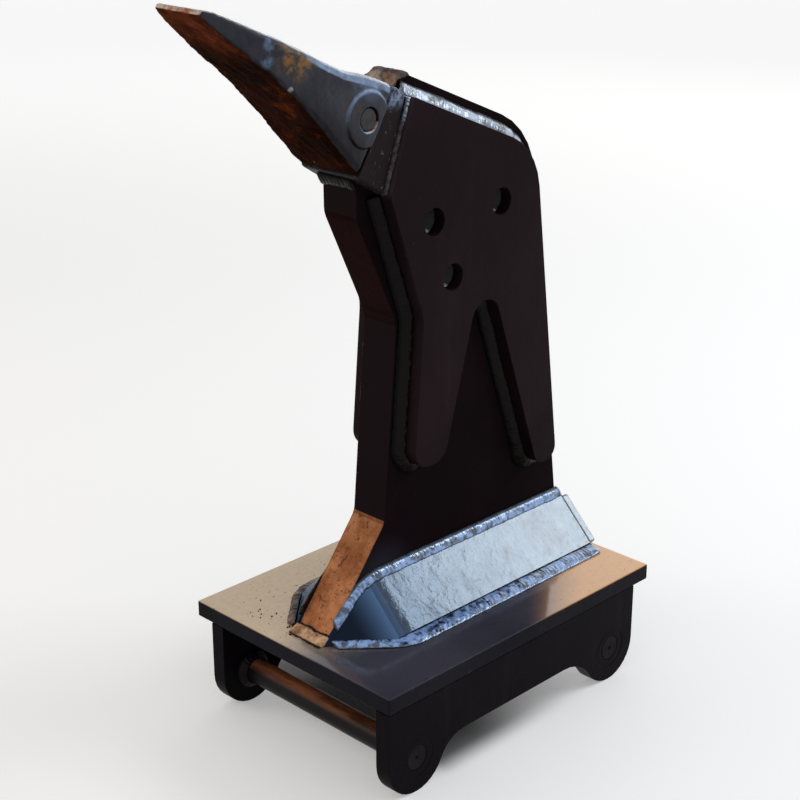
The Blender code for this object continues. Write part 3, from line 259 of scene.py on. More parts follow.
def base_plate_paint():
    """The base plate: glossy on top, tan patches towards its ends that are partly dust and partly a painted
    reflection, painted shade on its sides, chipped along its edges.
    """
    material, g = new_material("base_plate_paint", 0.02)
    level = g.facing()[2]
    up = g.span(level, 0.5, 0.9)
    g.put(g.shader.inputs["Coat Weight"], g.times(g.span(level, 0.93, 0.99), 0.95))
    from_middle = g.math("SUBTRACT", g.y, SHIFT_Y)
    edge_x = g.span(g.math("ABSOLUTE", g.x), HALF_WIDTH - RIM, HALF_WIDTH)
    edge_y = g.span(g.math("ABSOLUTE", from_middle), HALF_LENGTH - RIM, HALF_LENGTH)
    rim = g.most(edge_x, edge_y)
    base, dust = worn_paint(g, rgb(54, 53, 65), rgb(66, 65, 77), chips=g.times(rim, 0.2))
    # Painted shade: the faces that don't face up, the plate's sides, are near black
    base = g.mix(g.times(g.flip(up), 0.75), base, rgb(8, 6, 7))
    # Pale patches towards the left and towards the right rear: partly dust and partly a painted reflection
    wave = g.noise(9.0, 5.0, 0.6, where=g.stretched((1.0, 0.5, 1.0)), seed=11.0)
    drift = g.times(g.math("SUBTRACT", wave, 0.5), 0.10)
    across = g.add(g.x, g.times(g.y, -0.05), drift)
    left = g.span(across, -0.045, 0.085, 1.0, 0.0)
    corner = g.add(g.x, g.times(g.y, 0.9), g.times(drift, 0.4))
    rear_dust_and_reflection = g.times(g.span(corner, 0.21, 0.31), g.span(g.x, 0.0, 0.05))
    film = g.span(g.noise(120.0, 5.0, 0.7, seed=4.0), 0.25, 0.65, 0.86, 1.0)
    base = g.mix(g.times(up, left, film, 0.95), base, rgb(226, 200, 164))
    base = g.mix(g.times(up, rear_dust_and_reflection, film, 0.95), base, rgb(232, 170, 108))
    dots = g.times(g.span(g.cells(160.0), 0.10, 0.16, 1.0, 0.0), g.span(dust, 0.48, 0.56))
    base = g.mix(g.times(up, dots, 0.8), base, rgb(40, 31, 28))
    rough = g.add(g.span(dust, 0.3, 0.7, 0.2, 0.34), g.times(up, g.most(left, rear_dust_and_reflection), 0.3))
    g.set(base, rough, g.bump(g.noise(70.0, 3.0, 0.5, seed=9.0), 0.0004))
    return material


def shank_paint():
    """The shank: dark paint, a rusty film on the foot's front, red-brown rust under the tooth darkened as
    painted shade, and a painted blue-grey sheen on its side above the gusset.
    """
    material, g = new_material("shank_paint", 0.006)
    normal = g.facing()
    base, dust = worn_paint(g, rgb(20, 13, 16), rgb(27, 18, 21))
    front = g.span(g.times(normal[1], -1.0), 0.55, 0.75)
    base = g.mix(g.times(front, 0.8), base, rgb(33, 24, 27))
    sloped = g.times(front, g.span(normal[2], 0.25, 0.45))
    film = g.noise(34.0, 6.0, 0.7, where=g.stretched((1.0, 1.0, 0.55)), seed=21.0)
    rusty = g.mix(g.span(film, 0.3, 0.7), rgb(150, 88, 54), rgb(222, 150, 102))
    pits = g.times(g.span(g.cells(190.0), 0.12, 0.3, 0.7, 0.0), g.span(film, 0.45, 0.6))
    rusty = g.mix(pits, rusty, rgb(78, 50, 36))
    scratch = g.noise(150.0, 5.0, 0.75, where=g.stretched((0.25, 1.0, 1.0)), seed=25.0)
    rusty = g.mix(g.span(scratch, 0.54, 0.62, 0.0, 0.5), rusty, rgb(92, 58, 40))
    smudge = g.noise(75.0, 4.0, 0.8, where=g.stretched((1.0, 1.0, 0.5)), seed=27.0)
    middle = g.times(g.span(g.x, -0.03, -0.012), g.span(g.x, 0.004, 0.016, 1.0, 0.0))
    rusty = g.mix(g.times(g.span(smudge, 0.57, 0.62), middle, 0.8), rusty, rgb(66, 48, 44))
    rim = g.span(g.math("ABSOLUTE", g.x), HALF_SHANK - 0.0025, HALF_SHANK + 0.0005)
    rusty = g.mix(g.times(rim, g.span(film, 0.35, 0.6), 0.7), rusty, rgb(58, 36, 28))
    fade = g.span(g.z, PLATE_TOP + 0.02, PLATE_TOP + 0.125, 1.0, 0.8)
    base = g.mix(g.times(sloped, fade), base, rusty)
    # Rust and painted shade: the faces leaning under the tooth are a dark red-brown
    leaning_shade = g.times(front, g.span(normal[2], -0.25, -0.1, 1.0, 0.0))
    base = g.mix(g.times(leaning_shade, 0.9), base, rgb(28, 6, 4))
    up = g.span(normal[2], 0.8, 0.9)
    base = g.mix(g.times(up, g.span(film, 0.45, 0.6), 0.3), base, rgb(96, 70, 52))
    # A painted blue-grey sheen on the shank's side just above the gusset's front
    side_sheen = g.times(g.span(normal[0], 0.8, 0.9), g.near(None, -0.045, 0.185, 0.008, 0.058))
    base = g.mix(g.times(side_sheen, 0.8), base, rgb(46, 46, 56))
    rough = g.span(dust, 0.3, 0.7, 0.3, 0.45)
    height = g.add(g.noise(60.0, 4.0, 0.6, seed=9.0), g.times(scratch, sloped, 1.5))
    g.set(base, rough, g.bump(height, 0.0006))
    return material


def gusset_paint():
    """The gusset slopes: black gloss paint with a painted blue reflection and a painted pale sheen, with
    orange peel and brush lines.
    """
    material, g = new_material("gusset_paint", 0.7, coat_rough=0.08)
    g.shader.inputs["Specular Tint"].default_value = (0.58, 0.79, 1.0, 1.0)
    # The black paint's navy tone is a painted blue reflection, with dust specks
    base, dust = worn_paint(g, rgb(9, 24, 54), rgb(16, 34, 68))
    streak = g.noise(60.0, 5.0, 0.7, where=g.stretched((0.35, 1.0, 0.35)), seed=17.0)
    normal = g.facing()
    slope = g.most(g.span(normal[1], -0.4, -0.2), g.span(g.y, 0.0, 0.02))
    # The front flap: a painted reflection from dark to pale blue towards the fold, with a painted glare
    flap_reflection = g.mix(g.span(g.y, -0.105, -0.030), rgb(22, 29, 42), rgb(104, 140, 188))
    painted_glare = g.times(g.span(g.y, -0.070, -0.040), g.span(streak, 0.44, 0.60))
    flap_reflection = g.mix(g.times(painted_glare, 0.7), flap_reflection, rgb(172, 196, 222))
    base = g.mix(slope, flap_reflection, base)
    g.put(g.shader.inputs["Metallic"], g.flip(slope))
    # A painted pale sheen on the slope, streaked like brush lines
    brushed_sheen = g.times(g.span(streak, 0.34, 0.74), g.span(g.y, -0.06, 0.06, 0.12, 0.35))
    pale = g.add(g.times(g.span(g.y, 0.0, 0.2), 0.6), brushed_sheen)
    pale = g.times(pale, slope, g.span(normal[0], 0.45, 0.65), g.span(g.y, -0.09, -0.02, 0.3, 1.0))
    base = g.mix(pale, base, rgb(156, 154, 148))
    g.put(g.shader.inputs["Coat Weight"], g.times(slope, g.span(g.y, -0.10, 0.05, 0.02, 0.35)))
    swell = g.noise(34.0, 2.0, 0.5, seed=13.0)
    peel = g.noise(150.0, 3.0, 0.55, seed=9.0)
    height = g.add(g.times(peel, 0.45), g.times(swell, 1.4), g.times(streak, 0.35))
    g.set(base, g.span(dust, 0.3, 0.7, 0.12, 0.28), g.bump(height, 0.0017))
    return material


def weld_paint(name, tone, second, spec, coat, tint=None, lit=None, seam_shade_from=0.62, glint=None):
    """Paint over a weld bead, with painted shade in the seams along both its edges, out from a given
    share of its half width. tint colours its reflections. lit adds a painted pale sheen: its colour,
    the way it faces, the noise scale that breaks it up, and how strong it is. glint is the colour of
    a painted pale crescent highlight, where the mesh stores one."""
    material, g = new_material(name, spec, coat_rough=0.06)
    if tint:
        g.shader.inputs["Specular Tint"].default_value = (*tint, 1.0)
    # Painted shade in the seams along the bead's edges: darker, rougher, and without coat
    seam_shade = g.span(g.stored("rim"), seam_shade_from, seam_shade_from + SEAM_SHADE_WIDTH)
    g.put(g.shader.inputs["Coat Weight"], g.times(g.flip(seam_shade), coat))
    base, dust = worn_paint(g, rgb(*tone), rgb(*second))
    # A painted pale sheen on the faces turned the given way
    if lit:
        colour, way, scale, strength = lit
        turned = g.span(g.toward(g.facing("Normal"), way), 0.3, 0.6)
        broken = g.span(g.noise(scale, 3.0, 0.6, seed=57.0), 0.38, 0.6)
        base = g.mix(g.times(turned, broken, strength), base, rgb(*colour))
    base = g.mix(seam_shade, base, rgb(7, 7, 9))
    # A painted glint: a pale crescent where the mesh stores one
    if glint:
        base = g.mix(g.span(g.stored("glint"), 0.42, 0.72), base, rgb(*glint))
    grit = g.noise(420.0, 3.0, 0.6, seed=19.0)
    rough = g.add(g.span(dust, 0.3, 0.7, 0.10, 0.26), g.times(seam_shade, 0.4))
    g.set(base, rough, g.bump(grit, 0.0002))
    return material


def rust_weld(name, tone, second, paint_share, rear_darkening=0.0):
    """A weld bead whose paint has rusted through, with painted shade along its edges. Its last argument
    darkens it to blue-black towards the shank's rear.
    """
    material, g = new_material(name, 0.2)
    patch = g.noise(60.0, 6.0, 0.7, seed=23.0)
    base = g.mix(g.span(patch, 0.35, 0.62), rgb(*second), rgb(*tone))
    soot = g.span(g.noise(48.0, 4.0, 0.6, seed=29.0), 0.5, 0.62)
    base = g.mix(g.times(soot, paint_share), base, rgb(34, 27, 28))
    # Painted shade along the bead's edges
    base = g.mix(g.span(g.stored("rim"), 0.66, 0.86), base, rgb(22, 16, 16))
    # Darker and blue-black towards the shank's rear
    base = g.mix(g.times(g.span(g.y, -0.030, -0.012), rear_darkening), base, rgb(32, 31, 40))
    grit = g.noise(380.0, 4.0, 0.65, seed=19.0)
    g.set(base, g.span(patch, 0.3, 0.7, 0.5, 0.8), g.bump(grit, 0.0005))
    return material


def tooth_side():
    """Forged steel, dark grey: blue-grey scrapes, a gold stain, pale top faces that are worn and also a
    painted highlight, painted pale-blue sheen round the boss, and painted shade low down.
    """
    material, g = new_material("tooth_side", 0.1, metal=0.1)
    grain = g.noise(48.0, 6.0, 0.65, where=g.stretched((1.0, 0.5, 0.5)), seed=31.0)
    fine = g.noise(300.0, 4.0, 0.6, seed=33.0)
    base = g.mix(g.span(grain, 0.3, 0.7), rgb(46, 47, 54), rgb(62, 64, 72))
    stain = g.span(g.noise(26.0, 5.0, 0.65, seed=37.0), 0.56, 0.66)
    base = g.mix(g.times(stain, 0.3), base, rgb(78, 56, 42))
    patch = g.noise(95.0, 5.0, 0.75, seed=35.0)
    gold = g.times(g.near(None, -0.176, 0.796, 0.004, 0.032), g.span(patch, 0.42, 0.60))
    base = g.mix(gold, base, rgb(146, 106, 54))
    upper_scrape = g.near(None, -0.2086, 0.8121, 0.003, 0.009)
    lower_scrape = g.near(None, -0.2116, 0.7975, 0.003, 0.011)
    blue = g.times(g.most(upper_scrape, lower_scrape), g.span(patch, 0.40, 0.56), 0.6)
    base = g.mix(blue, base, rgb(118, 142, 176))
    base = g.mix(g.near(None, -0.1848, 0.7665, 0.001, 0.004), base, rgb(206, 206, 210))
    soft = g.facing("Normal")
    scrape = g.span(g.noise(70.0, 5.0, 0.7, seed=39.0), 0.35, 0.55, 0.5, 1.0)
    # A painted pale-blue sheen along the side's upper rear
    wide_sheen = g.times(g.span(g.y, -0.17, -0.15), g.span(soft[2], 0.12, 0.4))
    base = g.mix(g.times(wide_sheen, scrape, 0.85), base, rgb(122, 146, 178))
    # Pale top faces: worn steel, and a painted highlight where they face up
    base = g.mix(g.times(g.span(soft[2], 0.40, 0.75), scrape), base, rgb(206, 210, 216))
    # A painted pale-blue highlight on the arc round the boss's upper front
    boss = g.near(None, *PIN_PLACE, 0.0262, 0.0282)
    ring = g.times(g.flip(boss), g.near(None, *PIN_PLACE, 0.0300, 0.0325))
    ahead = g.times(g.math("SUBTRACT", PIN_PLACE[0], g.y), 0.6)
    upper = g.span(g.add(ahead, g.math("SUBTRACT", g.z, PIN_PLACE[1])), 0.008, 0.028)
    base = g.mix(g.times(ring, upper, g.span(patch, 0.3, 0.55), 0.5), base, rgb(112, 134, 164))
    # A painted pale-blue sheen above the boss
    sheen_above_boss = g.times(g.near(None, -0.080, 0.766, 0.004, 0.032), g.span(patch, 0.3, 0.55))
    base = g.mix(g.times(sheen_above_boss, 0.6), base, rgb(112, 128, 160))
    down = g.toward((g.x, g.y, g.z), TOOTH_DOWN)
    shade = g.times(g.span(down, -0.450, -0.416), g.span(g.y, -0.19, -0.13, 0.3, 0.8))
    base = g.mix(shade, base, rgb(22, 17, 19))
    # Painted shade on the faces turned down and forward
    low = g.span(g.toward(soft, (0.0, -0.53, -0.85)), 0.2, 0.6)
    base = g.mix(low, base, rgb(17, 14, 17))
    rough = g.add(g.span(fine, 0.3, 0.7, 0.34, 0.5), g.times(low, 0.1))
    g.set(base, rough, g.bump(g.add(grain, g.times(fine, 0.4)), 0.0008))
    return material


def tooth_under():
    """The tooth's underside and tip: dark brown scale with orange rust, and a pale upward face that is worn
    and also a painted highlight.
    """
    material, g = new_material("tooth_under", 0.004)
    broad = g.noise(16.0, 5.0, 0.6, seed=51.0)
    patch = g.noise(30.0, 7.0, 0.72, seed=53.0)
    base = g.mix(g.span(broad, 0.35, 0.65), rgb(25, 9, 4), rgb(46, 20, 10))
    base = g.mix(g.span(patch, 0.52, 0.70, 0.0, 0.7), base, rgb(112, 50, 14))
    scale = g.times(g.span(patch, 0.34, 0.46, 0.7, 0.0), g.span(broad, 0.35, 0.6))
    base = g.mix(scale, base, rgb(13, 8, 8))
    tip = g.near(0.0, -0.275, 0.850, 0.02, 0.075)
    base = g.mix(g.times(tip, g.span(patch, 0.40, 0.62, 0.15, 0.6)), base, rgb(136, 66, 36))
    fine = g.noise(260.0, 4.0, 0.65, seed=55.0)
    soft = g.facing("Normal")
    # Faces turned up are pale: worn steel and rust, and a painted highlight
    crown_wear_and_highlight = g.mix(g.span(patch, 0.42, 0.58), rgb(214, 200, 190), rgb(170, 96, 58))
    base = g.mix(g.span(soft[2], 0.2, 0.55), base, crown_wear_and_highlight)
    g.set(base, g.span(fine, 0.3, 0.7, 0.55, 0.8), g.bump(g.add(patch, g.times(fine, 0.5)), 0.0011))
    return material


def adapter_finish():
    """The adapter: painted casting, scratched on its sides and corners, with a pale-blue smear on its upper
    corner that is partly scratches and partly a painted highlight.
    """
    material, g = new_material("adapter_finish", 0.05)
    base, dust = worn_paint(g, rgb(25, 19, 21), rgb(33, 26, 28), chips=0.25)
    scratch = g.noise(90.0, 5.0, 0.75, where=g.stretched((1.0, 1.0, 0.25)), seed=45.0)
    base = g.mix(g.span(scratch, 0.62, 0.66, 0.0, 0.6), base, rgb(150, 142, 136))
    # A pale-blue smear on the upper corner: partly scratches, partly a painted highlight
    smear_scratch_and_highlight = g.span(g.noise(140.0, 5.0, 0.7, seed=49.0), 0.44, 0.56, 0.15, 0.8)
    base = g.mix(g.times(g.near(None, -0.040, 0.746, 0.006, 0.024), smear_scratch_and_highlight), base, rgb(150, 166, 196))
    g.set(base, g.span(dust, 0.3, 0.7, 0.34, 0.5), g.bump(g.noise(150.0, 4.0, 0.6, seed=41.0), 0.0006))
    return material


def pin_finish():
    """Turned steel, dull and dark."""
    material, g = new_material("pin_finish", 0.2, metal=0.2)
    turned = g.noise(160.0, 4.0, 0.6, seed=43.0)
    base = g.mix(g.span(turned, 0.3, 0.7), rgb(38, 37, 40), rgb(60, 57, 58))
    g.set(base, g.span(turned, 0.3, 0.7, 0.4, 0.55), g.bump(turned, 0.0004))
    return material


def bar_paint():
    """The hitch bars: black below, brown along their tops where they are rubbed and carry a painted
    highlight, with painted ends.
    """
    material, g = new_material("bar_paint", 0.12)
    rub = g.noise(40.0, 5.0, 0.65, where=g.stretched((0.15, 1.0, 1.0)), seed=47.0)
    soft = g.facing("Normal")
    # The tops are brown: rubbed paint, and a painted highlight for the light from above
    top = g.times(g.span(soft[2], 0.45, 0.95), g.span(rub, 0.40, 0.60, 0.2, 1.0))
    base = g.mix(top, rgb(14, 9, 9), rgb(150, 92, 62))
    ends = g.span(g.math("ABSOLUTE", g.x), 0.126, 0.131)
    base = g.mix(ends, base, rgb(12, 9, 12))
    g.set(base, g.add(g.span(rub, 0.3, 0.7, 0.32, 0.5), g.times(ends, 0.3)), g.bump(rub, 0.0003))
    return material


PLATE_PAINT = plate_paint("plate_paint", (25, 15, 18), (32, 20, 23))
EAR_PAINT = plate_paint("ear_paint", (13, 10, 14), (19, 14, 19), dull=0.34, spec=0.025)
GUSSET_PAINT = gusset_paint()
PIN_FINISH = pin_finish()
UP_AND_OUT = (0.5, 0.3, 0.8)
BLUE = (0.58, 0.78, 1.0)
# Black weld paint with a navy tone that is a painted blue reflection, and a pale blue painted sheen
GUSSET_WELD = weld_paint(
    "gusset_weld_paint", (6, 14, 34), (11, 25, 58), spec=0.8, coat=1.0, tint=BLUE,
    lit=((146, 182, 240), UP_AND_OUT, 105.0, 0.95), seam_shade_from=0.45,
)
# Painted light: the glossy copy of the weld paint for the shank's top, with a bluish tone that is a painted
# reflection and a pale painted sheen
TOP_WELD = weld_paint(
    "top_weld_paint", (16, 20, 32), (26, 34, 50), spec=0.5, coat=0.7, tint=BLUE,
    lit=((184, 198, 220), UP_AND_OUT, 40.0, 0.9),
)
DARK_WELD = weld_paint("dark_weld_paint", (17, 12, 13), (26, 18, 18), spec=0.06, coat=0.0)
# Painted light: a paler tone than the other dark welds, where this weld lies in shade, and a pale painted
# sheen on its outward face, broken up like scratches
SIDE_WELD = weld_paint(
    "side_weld_paint", (40, 32, 36), (54, 44, 49), spec=0.1, coat=0.05,
    lit=((128, 120, 124), (1.0, 0.0, 0.2), 150.0, 0.3), seam_shade_from=0.9,
)
# A painted reflection: a brownish sheen on the faces turned forward and up, over the dark weld paint
LEFT_WELD = weld_paint(
    "left_weld_paint", (24, 19, 19), (36, 29, 28), spec=0.06, coat=0.0,
    lit=((136, 106, 98), (-0.2, -0.8, 0.6), 50.0, 0.7),
)
# A painted glint: a pale crescent inside each plug weld's hole, at its lower front
PLUG_WELD = weld_paint(
    "plug_weld_paint", (40, 35, 35), (52, 46, 46), spec=0.1, coat=0.05, tint=BLUE,
    seam_shade_from=1.2, glint=(232, 240, 255),
)
RUST_WELD = rust_weld("rust_weld", (236, 192, 150), (132, 84, 56), paint_share=0.35)
LUMP_WELD = rust_weld("lump_weld", (214, 190, 168), (140, 84, 52), paint_share=0.7, rear_darkening=0.85)
FINISHES = {
    "base_plate": base_plate_paint(),
    "shank_core": shank_paint(),
    "gusset_plate": GUSSET_PAINT,
    "gusset_end": GUSSET_PAINT,
    "tooth_pin": PIN_FINISH,
    "tooth_retainer": PIN_FINISH,
    "adapter": adapter_finish(),
    "hitch_bar": bar_paint(),
    "cheek_plate": PLATE_PAINT,
    "ear_plate": EAR_PAINT,
    "bar_ring_weld": EAR_PAINT,
}


def finish_for(name):
    """The finish of a CAD node, by how its name starts."""
    for start, made in FINISHES.items():
        if name == start or name.startswith(start + "_"):
            return made
    return DARK_WELD


# CAD nodes: welded vertices, small rounded edges, and smooth round faces


def smoothing_group():
    """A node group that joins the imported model's loose triangles and shades them smooth."""
    group = bpy.data.node_groups.new("join_and_smooth", "GeometryNodeTree")
    group.interface.new_socket("Geometry", in_out="INPUT", socket_type="NodeSocketGeometry")
    group.interface.new_socket("Geometry", in_out="OUTPUT", socket_type="NodeSocketGeometry")
    start = group.nodes.new("NodeGroupInput")
    merge = group.nodes.new("GeometryNodeMergeByDistance")
    merge.inputs["Distance"].default_value = MERGE
    drop = group.nodes.new("GeometryNodeRemoveAttribute")
    drop.inputs["Name"].default_value = "custom_normal"
    smooth = group.nodes.new("GeometryNodeSetShadeSmooth")
    end = group.nodes.new("NodeGroupOutput")
    chain = (start, merge, drop, smooth, end)
    for before, after in zip(chain, chain[1:]):
        group.links.new(before.outputs[0], after.inputs[0])
    return group


JOIN = smoothing_group()
# The width of the rounded edges, and where it differs by how a node's name starts
EDGE = 0.0008
EDGES = {"adapter": 0.0012, "hitch_bar": 0.0004, "tooth_pin": 0.0004, "tooth_retainer": 0.0003}
# Faces within the first angle of each other are one flat face, and edges over the second are sharp
FLAT = math.radians(0.5)
SHARP = math.radians(32.0)


def dress(name, node):
    """Give one CAD node its finish and its rounded edges. Its mesh stays as packed."""
    for slot in node.material_slots:
        slot.material = finish_for(name)
    join = node.modifiers.new("join", "NODES")
    join.node_group = JOIN
    flatten = node.modifiers.new("flatten", "DECIMATE")
    flatten.decimate_type = "DISSOLVE"
    flatten.angle_limit = FLAT
    soft = node.modifiers.new("soft_edges", "BEVEL")
    soft.width = next((width for start, width in EDGES.items() if name.startswith(start)), EDGE)
    soft.segments = 2
    soft.limit_method = "ANGLE"
    soft.angle_limit = SHARP
    soft.miter_outer = "MITER_ARC"
    node.modifiers.new("weighted", "WEIGHTED_NORMAL").keep_sharp = True


for name, node in nodes.items():
    dress(name, node)


# Weld beads: each replaces its CAD bead with a rippled one in the same place

# How far every bead's skin moves out, to close over the plates' rounded edges
BEAD_GROWTH = 0.0004
# How many pitches a ripple's ends trail its middle, and the middle height of a crest of 0..1
CRESCENT = 0.75
MEAN_CREST = 0.55
# How many places a bead's path is found at, and how many make up a ring
SLICES = 24
RING_POINTS = 48
# The size of the lumps in a bead's outline
LUMP = 0.014
# How far the cheek welds run from the middle plane, and the rings in the plug welds and round the bars
CHEEK_WELD_X = 0.031
PLUG_RING = 0.009
BAR_RING = 0.018


def wander(s, seed):
    """A smooth value of about -1..1 that wanders along s, the same each run."""
    return (np.sin(s * 2.1 + seed) + np.sin(s * 3.7 + seed * 2.3) + np.sin(s * 6.1 + seed * 4.1)) / 2.2


def remeshed(name, voxel):
    """The CAD bead as one fine even mesh."""
    source = nodes[name]
    work = bpy.data.objects.new(name + "_work", source.data.copy())
    bpy.context.scene.collection.objects.link(work)
    weld = work.modifiers.new("weld", "WELD")
    weld.merge_threshold = MERGE
    remesh = work.modifiers.new("remesh", "REMESH")
    remesh.mode = "VOXEL"
    remesh.voxel_size = voxel
    remesh.use_smooth_shade = True
    graph = bpy.context.evaluated_depsgraph_get()
    mesh = bpy.data.meshes.new_from_object(work.evaluated_get(graph))
    old = work.data
    bpy.data.objects.remove(work)
    bpy.data.meshes.remove(old)
    return mesh


def along_path(co, path):
    """For each point: how far along the path it is, its offset from it, and the path's direction."""
    starts, ends = path[:-1], path[1:]
    runs = ends - starts
    lengths = np.linalg.norm(runs, axis=1)
    before = np.concatenate(([0.0], np.cumsum(lengths)[:-1]))
    best = np.full(len(co), np.inf)
    distance = np.zeros(len(co))
    offset = np.zeros_like(co)
    heading = np.zeros_like(co)
    for start, run, length, base in zip(starts, runs, lengths, before):
        share = np.clip(((co - start) @ run) / length**2, 0.0, 1.0)
        off = co - (start + share[:, None] * run)
        gap = np.linalg.norm(off, axis=1)
        closer = gap < best
        best[closer] = gap[closer]
        distance[closer] = base + (share * length)[closer]
        offset[closer] = off[closer]
        heading[closer] = run / length
    return distance, offset, heading


def slices(co, axis):
    """The middle of a bead at points along one axis, for a bead that never turns back."""
    low, high = co[:, axis].min(), co[:, axis].max()
    cuts = np.linspace(low, high, SLICES + 1)
    middles = []
    for a, b in zip(cuts, cuts[1:]):
        inside = co[(co[:, axis] >= a) & (co[:, axis] <= b)]
        if len(inside):
            middles.append(inside.mean(axis=0))
    return np.array(middles)


def ripple(mesh, path, facing, pitch, depth, seed, seam_shades):
    """Move the bead's surface out in crescents along the path, with a slow change of size. Store
    how near each point is to the bead's two edges, each times the share of painted seam shade that edge gets."""
    co, normal = points_of(mesh)
    distance, offset, heading = along_path(co, path)
    outward = facing(co, heading)
    outward /= np.linalg.norm(outward, axis=1)[:, None]
    across = np.cross(heading, outward)
    reach = (offset * across).sum(axis=1)
    width = np.percentile(np.abs(reach), 95)
    bend = np.clip(reach / width, -1.3, 1.3)
    count = distance / pitch + CRESCENT * bend**2 + 0.5 * wander(distance / 0.02, seed)
    crest = np.abs(np.sin(np.pi * count)) ** 0.7
    swell = wander(distance / 0.013, seed + 1.7) * 0.4 + wander(distance / 0.045, seed + 5.1) * 0.5
    exposed = np.clip((normal * outward).sum(axis=1) * 1.6 + 0.2, 0.0, 1.0)
    lift = BEAD_GROWTH + exposed * (depth * (crest - MEAN_CREST) + depth * 0.8 * swell)
    co += normal * lift[:, None]
    mesh.vertices.foreach_set("co", co.ravel())
    rim = mesh.attributes.new("rim", "FLOAT", "POINT")
    edge = np.where(bend < 0.0, -bend * seam_shades[0], bend * seam_shades[1])
    rim.data.foreach_set("value", edge.astype(np.float32))
    mesh.update()


def points_of(mesh):
    """The mesh's points and their normals, as two arrays."""
    co = np.zeros(len(mesh.vertices) * 3)
    normal = np.zeros(len(mesh.vertices) * 3)
    mesh.vertices.foreach_get("co", co)
    mesh.vertices.foreach_get("normal", normal)
    return co.reshape(-1, 3), normal.reshape(-1, 3)


def lumpy(co, size, seed):
    """A value of about -1..1 for each point, that changes in lumps of about the given size."""
    total = np.zeros(len(co))
    for scale, share in ((1.0, 0.6), (0.47, 0.3), (0.21, 0.15)):
        at = co / (size * scale)
        x, y, z = at[:, 0] + seed, at[:, 1], at[:, 2]
        bent = np.sin(y * 1.7 + 1.3 * np.sin(z * 0.9)) + np.sin(z * 1.3 + 1.5 * np.sin(x * 1.1))
        total += share * np.sin(x * 1.9 + 1.4 * bent) * np.cos(y * 1.2 + bent)
    return total


def roughen(mesh, height, size, seed):
    """Push the surface in and out in lumps of about the given size."""
    co, normal = points_of(mesh)
    co += normal * (height * lumpy(co, size, seed))[:, None]
    mesh.vertices.foreach_set("co", co.ravel())
    mesh.update()


def bead(
    name, material, facing, path=None, axis=1, pitch=0.0048, depth=0.0007,
    voxel=0.0011, seed=0.0, lumps=0.0, seam_shades=(1.0, 1.0),
):
    """Replace one CAD bead with a rippled one. A path of None is found along the given axis.
    lumps is how far its outline wanders in and out."""
    mesh = remeshed(name, voxel)
    if path is None:
        co, _ = points_of(mesh)
        path = slices(co, axis)
    ripple(mesh, np.array(path), facing, pitch, depth, seed, seam_shades)
    if lumps:
        roughen(mesh, lumps, LUMP, seed)
    mesh.materials.clear()
    mesh.materials.append(material)
    piece = bpy.data.objects.new(name + "_beads", mesh)
    bpy.context.scene.collection.objects.link(piece)
    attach(piece, "root")
    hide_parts(name)
    return piece


def fixed(x, y, z):
    """A bead whose face looks the same way all along it."""
    return lambda co, heading: np.tile(np.array((x, y, z), float), (len(co), 1))


def around_bar(side, y, z):
    """A bead round a bar: it faces away from the bar's axis and along x."""
    def facing(co, heading):
        out = co - np.array((0.0, y, z))
        out[:, 0] = 0.0
        out /= np.maximum(np.linalg.norm(out, axis=1), 1e-6)[:, None]
        out[:, 0] = side
        return out
    return facing


def ring_path(x, y, z, radius):
    """A ring round a line along x."""
    turns = [2 * math.pi * i / RING_POINTS for i in range(RING_POINTS + 1)]
    return [(x, y + radius * math.cos(t), z + radius * math.sin(t)) for t in turns]


# The cheek plate's edge, from the top of its front round to the front of its top: (y, z)
CHEEK_EDGE = (
    (-0.111, 0.504), (-0.0634, 0.366), (-0.0614, 0.350), (-0.0732, 0.207), (-0.0702, 0.194),
    (-0.0601, 0.185), (-0.0429, 0.183), (-0.0313, 0.186), (-0.0232, 0.195), (0.018, 0.342),
    (0.0243, 0.353), (0.0352, 0.358), (0.0454, 0.358), (0.0536, 0.354), (0.0617, 0.344),
    (0.1336, 0.138), (0.1395, 0.130), (0.1487, 0.1275), (0.1586, 0.128), (0.1665, 0.132),
    (0.1715, 0.143), (0.1275, 0.475), (0.1165, 0.506), (0.0939, 0.530), (-0.0759, 0.604),
)


def cheek_facing(side):
    """The cheek weld faces out from the plate's edge and to its own side."""
    def facing(co, heading):
        out = np.stack((np.zeros(len(co)), heading[:, 2], -heading[:, 1]), axis=1)
        out[:, 0] = side
        return out
    return facing


